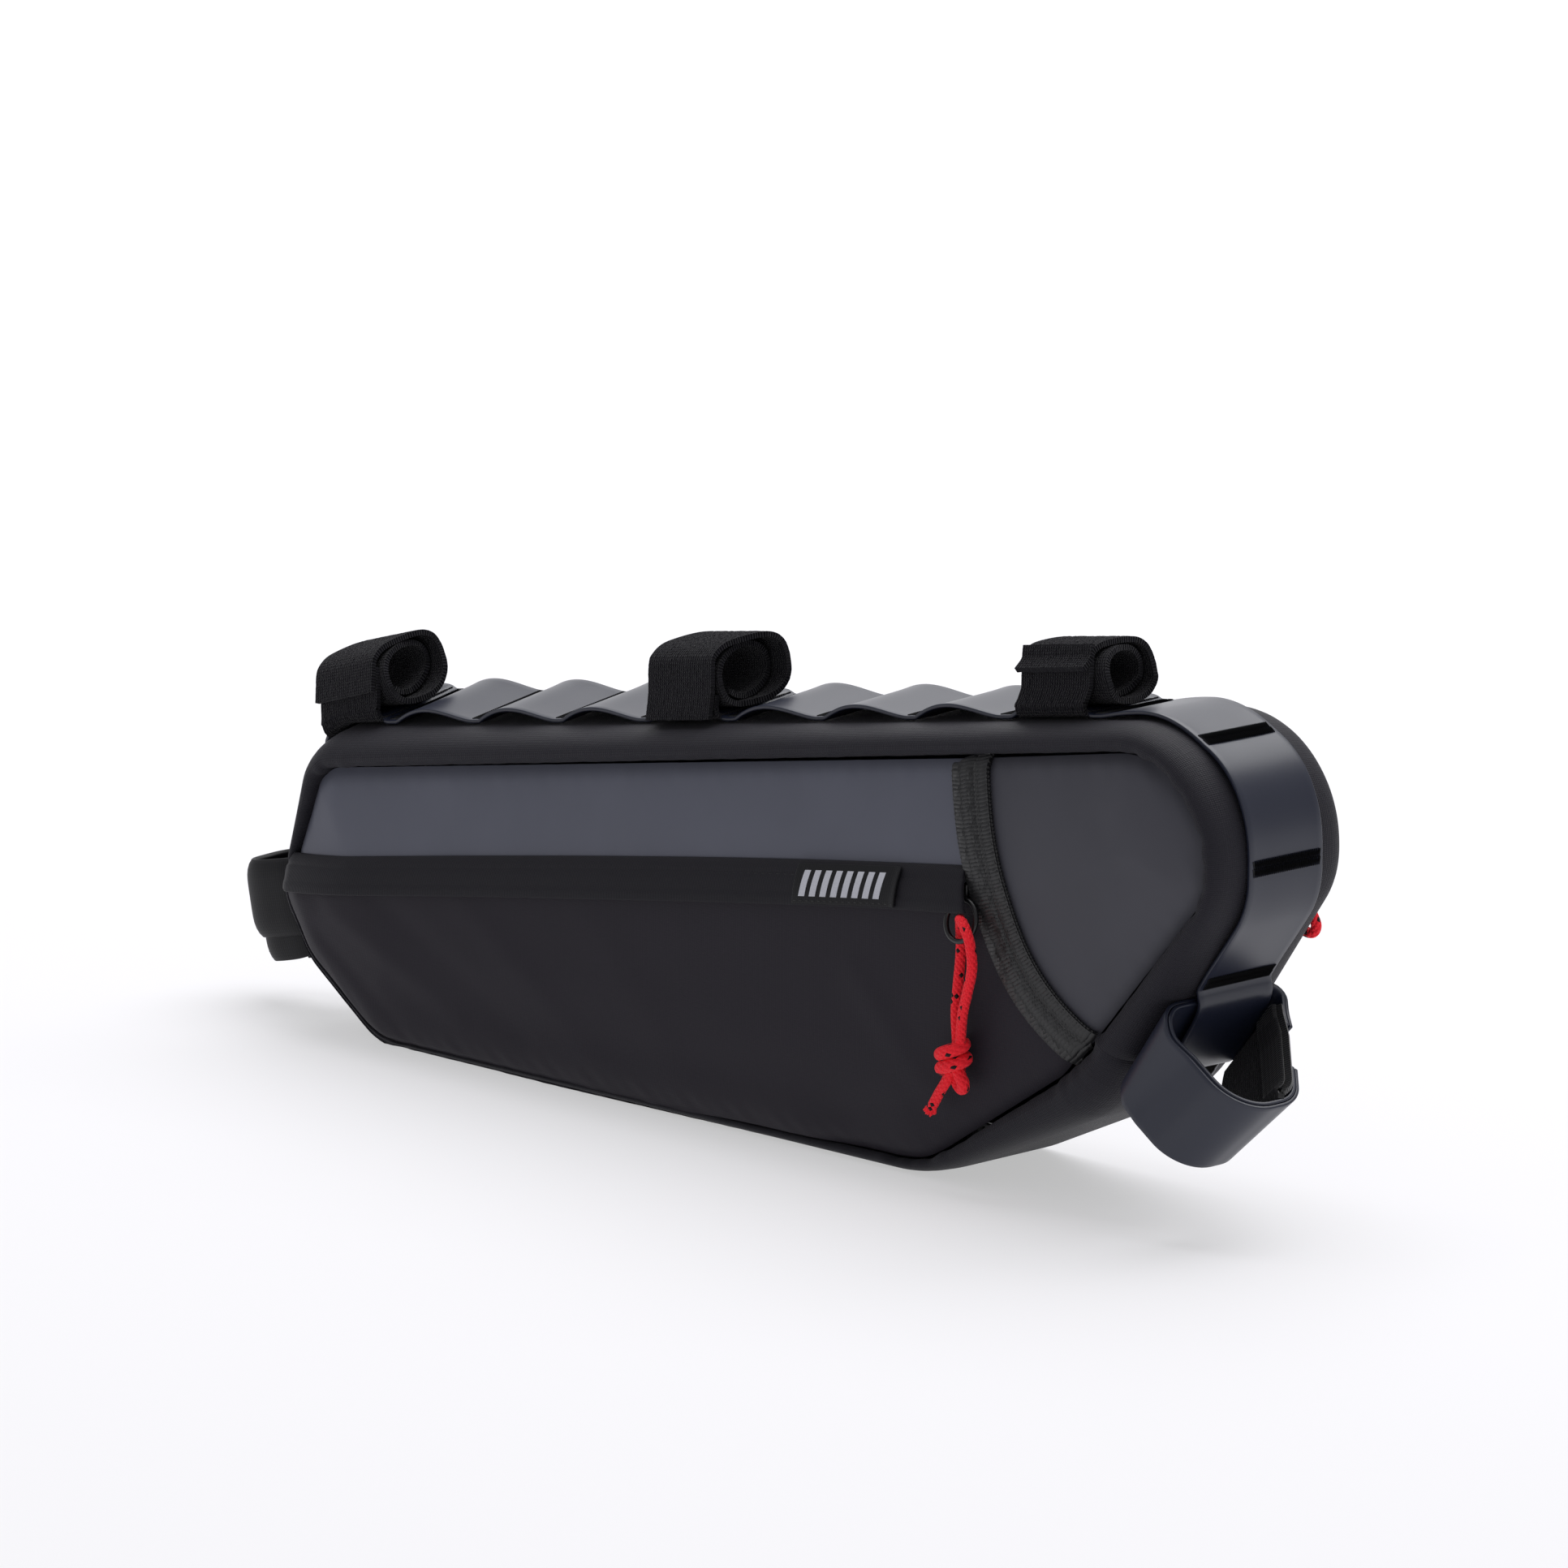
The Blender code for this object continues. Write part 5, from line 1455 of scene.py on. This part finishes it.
@dataclass
class DownTubeLoop:
    """The down tube strap: a coated loop of two plies, closed by hook-and-loop behind."""

    form: BagForm
    chain: DaisyChain
    width: float = 0.0275
    ply: float = 0.0011
    wall: float = 0.0024
    front: float = 0.0320
    drop: float = 0.0400
    back: float = 0.0218
    low_back: float = -0.0085
    tab_from: float = 0.0310
    lap: float = 0.0130
    skew_front: float = 0.17
    skew_back: float = 0.32
    skew_by: float = 0.018
    sag: float = 4.5
    droop: float = 0.0028
    hook_width: float = 0.0255
    hook_wall: float = 0.0020

    @staticmethod
    def rounded(corners: Sequence[Array], radii: Sequence[float]) -> Array:
        """Straight lines between corners, with the inner corners rounded."""
        rows = [corners[0]]
        for index in range(1, len(corners) - 1):
            before = corners[index - 1] - corners[index]
            after = corners[index + 1] - corners[index]
            before = before / np.linalg.norm(before)
            after = after / np.linalg.norm(after)
            half = math.acos(float(before.dot(after))) / 2
            radius = radii[index - 1]
            middle = (before + after) / np.linalg.norm(before + after)
            centre = corners[index] + middle * radius / math.sin(half)
            first = corners[index] + before * radius / math.tan(half) - centre
            last = corners[index] + after * radius / math.tan(half) - centre
            sweep = math.atan2(first[0] * last[1] - first[1] * last[0], first.dot(last))
            start = math.atan2(first[1], first[0])
            for share in np.linspace(0, 1, 14):
                angle = start + sweep * share
                rows.append(centre + radius * np.array((math.cos(angle), math.sin(angle))))
        rows.append(corners[-1])
        return even_steps(np.array(rows), 0.0009)

    def lay(self, name: str, path: Array, width: float, offset: float, part: tuple[float, float] = (-0.5, 0.5),
            rows: int = 18) -> bpy.types.Object:
        """Lays cloth along a path of depth and height over the band, moved inward by an offset.

        Args:
            name: the piece's name.
            path: depth and height of the cloth's middle.
            width: width of the whole strap.
            offset: distance inward from the path.
            part: the shares of the width that this piece spans; a narrow part is ribbed along its length.
            rows: faces across.

        Returns:
            The cloth's object, one face thick.
        """
        cell = self.chain.cells[-1]
        centre = cell.start + cell.length / 2
        length = float(path_lengths(path)[-1])

        def place(u: Array, v: Array) -> Array:
            row = along_path(path, u)
            ahead = along_path(path, np.clip(u + 0.004, 0, 1)) - along_path(path, np.clip(u - 0.004, 0, 1))
            ahead /= np.linalg.norm(ahead, axis=1)[:, None]
            ribs = 0.00045 * np.sin(v * 2 * math.pi * 5) if part[1] < 0.5 else 0.0
            inward = np.broadcast_to(offset + ribs, len(u))[:, None]
            row = row + np.column_stack((ahead[:, 1], -ahead[:, 0])) * inward
            along = (part[0] + (part[1] - part[0]) * v) * width
            hang = self.droop * ease(row[:, 1] / 0.012)
            backward = (row[:, 0] + self.front) / (self.back + self.front)
            skew = self.skew_front + (self.skew_back - self.skew_front) * backward
            depth = row[:, 0] - skew * along * np.minimum(row[:, 1] / self.skew_by, 1.0)
            return self.form.on_strap(centre, along + hang, depth, row[:, 1] * (1 - self.sag * along))

        return lay_cloth(name, round(length / 0.0009), rows, place,
                         lambda u, v: np.column_stack((u * length * MM, v * width * MM)))

    def build(self) -> None:
        """The two plies, the hook-and-loop and the edge that binds it."""
        base = OFF_BAND + self.wall / 2
        low = self.drop - self.wall / 2
        turn = np.array((self.low_back, low))
        top = np.array((self.back, base))
        slope = (top - turn) / np.linalg.norm(top - turn)
        front = -self.front + self.wall / 2
        path = self.rounded((turn + slope * self.tab_from, top, np.array((front, base)), np.array((front, low)), turn,
                             turn + slope * self.lap), (0.0030, 0.0100, 0.0125, 0.0120))
        for name, width, offset, nodes in (("loop_outer_ply", self.width, 0.00062, ("down_tube_strap",)),
                                           ("loop_inner_ply", self.width - 0.0008, -0.00062, ())):
            ply = self.lay(name, path, width, offset)
            give_wall(ply, self.ply, Grow.MIDDLE, rim=0.00025)
            SHEETING.dress(ply)
            report_piece(ply, nodes)
        inside = self.wall / 2 + self.hook_wall / 2 + 0.0006
        across = np.array((slope[1], -slope[0])) * inside
        forward = np.array((-1.0, 0.0))
        half = math.acos(float(slope.dot(forward))) / 2
        hook_turn = turn + (slope + forward) / np.linalg.norm(slope + forward) * inside / math.sin(half)
        hook_path = self.rounded((turn + slope * 0.0370 + across, hook_turn, np.array((-0.0130, low - inside))),
                                 (0.0120 - inside,))
        hook = self.lay("loop_hook_tape", hook_path, self.hook_width, 0.0)
        give_wall(hook, self.hook_wall, Grow.MIDDLE)
        PILE.dress(hook)
        report_piece(hook, ("down_tube_hook",))
        binding = self.lay("loop_binding", hook_path, self.hook_width, -0.0004, (-0.56, -0.26), 30)
        give_wall(binding, 0.0030, Grow.MIDDLE, rim=0.0006)
        GROSGRAIN.dress(binding)
        report_piece(binding)


@dataclass
class PullCords:
    """The red cords: the front pull with its ring, knot and frayed tail, and the short loop behind."""

    form: BagForm
    diameter: float = 0.0031
    front_along: float = 0.7748
    back_along: float = 0.9475
    ring_radius: float = 0.0058
    ring_wire: float = 0.0016
    strands: int = 46
    front_route: tuple[tuple[float, float, float], ...] = (
        (-0.0012, 0.0405, 0.0050),
        (-0.0022, 0.0300, 0.0038),
        (-0.0022, 0.0230, 0.0030),
        (-0.0020, 0.0150, 0.0022),
        (-0.0019, 0.0098, 0.0020),
        (-0.0015, 0.0060, 0.0026),
        (-0.0004, 0.0028, 0.0038),
        (0.0018, 0.0016, 0.0060),
        (0.0052, 0.0034, 0.0076),
        (0.0080, 0.0080, 0.0083),
        (0.0084, 0.0150, 0.0080),
        (0.0056, 0.0230, 0.0072),
        (0.0030, 0.0300, 0.0066),
        (0.0006, 0.0405, 0.0060),
    )
    tail_route: tuple[tuple[float, float, float], ...] = (
        (-0.0030, 0.0475, 0.0066),
        (-0.0050, 0.0512, 0.0070),
        (-0.0078, 0.0548, 0.0070),
        (-0.0104, 0.0584, 0.0070),
        (-0.0118, 0.0606, 0.0072),
    )
    back_route: tuple[tuple[float, float, float], ...] = (
        (-0.0026, -0.0014, 0.0022),
        (-0.0020, 0.0018, 0.0026),
        (-0.0008, 0.0054, 0.0034),
        (0.0008, 0.0086, 0.0040),
        (0.0028, 0.0112, 0.0043),
        (0.0054, 0.0114, 0.0045),
        (0.0066, 0.0092, 0.0046),
        (0.0060, 0.0060, 0.0042),
        (0.0050, 0.0030, 0.0036),
        (0.0036, 0.0004, 0.0030),
        (0.0026, -0.0016, 0.0024),
    )
    knot_place: tuple[float, float, float] = (-0.0026, 0.0437, 0.0056)

    def at(self, side: Side, offsets: Array) -> Array:
        """Places of a pull: right of its slider, below the flap's lower edge and out from the panel."""
        start = self.form.length * (self.front_along if side is Side.FRONT else self.back_along)
        height = self.form.flap_low(np.array([start]))[0]
        points = np.column_stack((start + offsets[:, 0], height - offsets[:, 1]))
        return self.form.on_side(points, side, offsets[:, 2])

    def cord(self, name: str, side: Side, route: Sequence[Sequence[float]]) -> tuple[bpy.types.Object, Array]:
        """A stretch of cord along a route, and its path."""
        path = smooth_curve(self.at(side, np.array(route)), 0.0004)
        return tube_mesh(name, path, self.diameter / 2, 20), path

    def add_knot(self) -> bpy.types.Object:
        """The overhand knot: two fat slanted turns round the strands, and the strand that comes back out below."""
        x, down, out = self.knot_place
        turns = []
        for turned in np.linspace(0.0, 2.0, 96):
            angle = 2 * math.pi * turned - math.pi / 2
            drop = -0.0043 + 0.0043 * turned - 0.0008 * math.cos(angle)
            turns.append((x + (0.0036 + 0.0003 * turned) * math.cos(angle), down + drop,
                          out + 0.0027 * math.sin(angle)))
        winding = tube_mesh("cord_knot", even_steps(self.at(Side.FRONT, np.array(turns)), 0.0004), 0.00205, 20)
        strand = smooth_curve(self.at(Side.FRONT, np.array((
            (x + 0.0006, down + 0.0010, out), (x + 0.0022, down + 0.0044, out + 0.0008),
            (x + 0.0030, down + 0.0074, out + 0.0006), (x + 0.0016, down + 0.0094, out - 0.0002),
            (x - 0.0002, down + 0.0080, out - 0.0008), (x - 0.0010, down + 0.0040, out - 0.0006)))), 0.0004)
        core = tube_mesh("cord_knot_core", strand, 0.00190, 18)
        select_only(winding)
        core.select_set(True)
        bpy.ops.object.join()
        return winding

    def add_fray(self, end: Array, way: Array) -> bpy.types.Object:
        """The loose ends of the cord's strands."""
        rng = np.random.default_rng(11)
        side = np.cross(way, (0.0, 1.0, 0.0))
        side /= np.linalg.norm(side)
        up = np.cross(side, way)
        places, ways = [], []
        for index in range(self.strands):
            angle = index * 2.399
            reach = self.diameter / 2 * math.sqrt((index + 0.5) / self.strands) * 0.95
            radial = side * math.cos(angle) + up * math.sin(angle)
            spread = way + radial * rng.uniform(0.05, 0.45) + rng.uniform(-0.2, 0.2, 3)
            ways.append(spread)
            places.append(end + radial * reach + spread * rng.uniform(0.0, 0.0005))
        outs = np.tile(up, (self.strands, 1)) + rng.uniform(-0.1, 0.1, (self.strands, 3))
        return sewn_stitches("frayed_strands", np.array(places), np.array(ways), outs, 0.0026, 0.00030)

    def add_ring(self) -> None:
        """The wire ring that joins the slider and the cord."""
        along = self.form.length * self.front_along
        edge = float(self.form.flap_low(np.array([along]))[0])
        heights = np.array((edge - 0.0024 + self.ring_radius, edge - 0.0024 - self.ring_radius))
        ends = np.column_stack((np.full(2, along), heights))
        top, low = self.form.on_side(ends, Side.FRONT, np.array((0.0023, 0.0056)))
        angles = np.linspace(0.0, 2 * math.pi, 72, endpoint=False)
        path = (top + low) / 2 + np.outer(np.cos(angles), (top - low) / 2)
        path[:, 0] += self.ring_radius * np.sin(angles)
        ring = tube_mesh("wire_ring", path, self.ring_wire / 2, 16, closed=True)
        PAINTED_METAL.dress(ring)
        report_piece(ring, ("pull_ring_front",))

    def build(self) -> None:
        """Both pulls and the ring."""
        self.add_ring()
        front, path = self.cord("front_cord", Side.FRONT, self.front_route)
        tail, tail_path = self.cord("cord_tail", Side.FRONT, self.tail_route)
        knot = self.add_knot()
        way = tail_path[-1] - tail_path[-3]
        fray = self.add_fray(tail_path[-1], way / np.linalg.norm(way))
        back, back_path = self.cord("back_cord", Side.BACK, self.back_route)
        for piece, nodes in ((front, ("pull_cord_front",)), (tail, ("pull_tail_front",)),
                             (knot, ("pull_knot_front",)), (fray, ()), (back, ("pull_cord_back",))):
            CORD.dress(piece)
            report_piece(piece, nodes)


@dataclass
class Studio:
    """A plain pale floor, soft light from above and behind, and the camera at the photograph's angle."""

    target: tuple[float, float, float] = (0.0071, 0.0022, 0.0549)
    back: tuple[float, float, float] = (0.7023, -0.6782, 0.2164)
    distance: float = 2.6
    focal_px: float = 10764.0
    image_px: float = 1932.0
    target_px: tuple[float, float] = (960.0, 1150.0)
    floor_glow: float = 0.48

    def add_camera(self) -> None:
        """The camera; its target falls below the middle of the image."""
        back = Vector(self.back).normalized()
        right = Vector((0, 0, 1)).cross(back).normalized()
        up = back.cross(right)
        off_x = (self.image_px / 2 - self.target_px[0]) / self.focal_px
        off_y = (self.target_px[1] - self.image_px / 2) / self.focal_px
        look = (-back + right * off_x + up * off_y).normalized()
        data = bpy.data.cameras.new("photo_camera")
        data.sensor_width = 36.0
        data.lens = self.focal_px / self.image_px * data.sensor_width
        data.clip_end = 60.0
        camera = bpy.data.objects.new("photo_camera", data)
        camera.location = Vector(self.target) + back * self.distance
        camera.rotation_euler = look.to_track_quat("-Z", "Y").to_euler()
        bpy.context.scene.collection.objects.link(camera)
        bpy.context.scene.camera = camera

    def add_floor(self) -> None:
        """A wide white floor, lit so brightly that it is nearly blown out, which its emission stands for."""
        bpy.ops.object.select_all(action="DESELECT")
        bpy.ops.mesh.primitive_plane_add(size=60.0)
        floor = bpy.context.object
        floor.name = "studio_floor"
        Finish("matte_paper_floor", "#A8A7AB", 0.9, specular=0.1, cloudy=0.0).dress(floor)
        material = floor.data.materials[0]
        shader = material.node_tree.nodes["Principled BSDF"]
        shader.inputs["Emission Color"].default_value = linear("#FFFFFF")
        place = add_node(material, "ShaderNodeTexCoord")
        reach = add_node(material, "ShaderNodeVectorMath", {"operation": "LENGTH"}, {0: place.outputs["Object"]})
        glow = add_node(material, "ShaderNodeMapRange", {"interpolation_type": "SMOOTHSTEP", "From Min": 0.45,
                                                         "From Max": 2.4, "To Min": self.floor_glow, "To Max": 0.8},
                        {"Value": reach.outputs["Value"]})
        material.node_tree.links.new(glow.outputs[0], shader.inputs["Emission Strength"])

    def add_light(self, name: str, place: Sequence[float], size: float, power: float, colour: str) -> None:
        """A square soft light that faces the bag."""
        data = bpy.data.lights.new(name, "AREA")
        data.shape = "SQUARE"
        data.size = size
        data.energy = power
        data.color = linear(colour)[:3]
        lamp = bpy.data.objects.new(name, data)
        lamp.location = place
        lamp.rotation_euler = (Vector((0.0, 0.0, 0.08)) - Vector(place)).to_track_quat("-Z", "Y").to_euler()
        bpy.context.scene.collection.objects.link(lamp)

    def build(self) -> None:
        """Camera, floor, lights and a white surround."""
        self.add_camera()
        self.add_floor()
        world = bpy.context.scene.world or bpy.data.worlds.new("studio_surround")
        bpy.context.scene.world = world
        world.use_nodes = True
        surround = world.node_tree.nodes["Background"]
        surround.inputs["Color"].default_value = linear("#FAFAFF")
        surround.inputs["Strength"].default_value = 0.4
        bpy.context.scene.view_settings.view_transform = "Standard"
        self.add_light("overhead_softbox", (-0.2, 0.8, 2.2), 2.6, 74.0, "#FFFFFF")
        self.add_light("backdrop_glow", (-2.7, 2.7, 1.1), 2.6, 17.0, "#FFFFFF")


def main() -> None:
    """Builds every sub-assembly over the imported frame."""
    logging.basicConfig(level=logging.INFO, format="%(name)s: %(message)s")
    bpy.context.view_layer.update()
    Studio().build()
    form = BagForm()
    cords = PullCords(form)
    cords.build()
    PaddedBand(form).build()
    SidePanels(form).build()
    front_zip = ZipLine(form, Side.FRONT, cords.front_along * form.length)
    front_zip.build()
    ZipLine(form, Side.BACK, cords.back_along * form.length).build()
    WovenLabel(form, front_zip).build()
    WebbingTrim(form).build()
    chain = DaisyChain(form)
    chain.build()
    RolledStraps(form, chain).build()
    TailStrap(form).build()
    DownTubeLoop(form, chain).build()


if __name__ == "__main__":
    main()
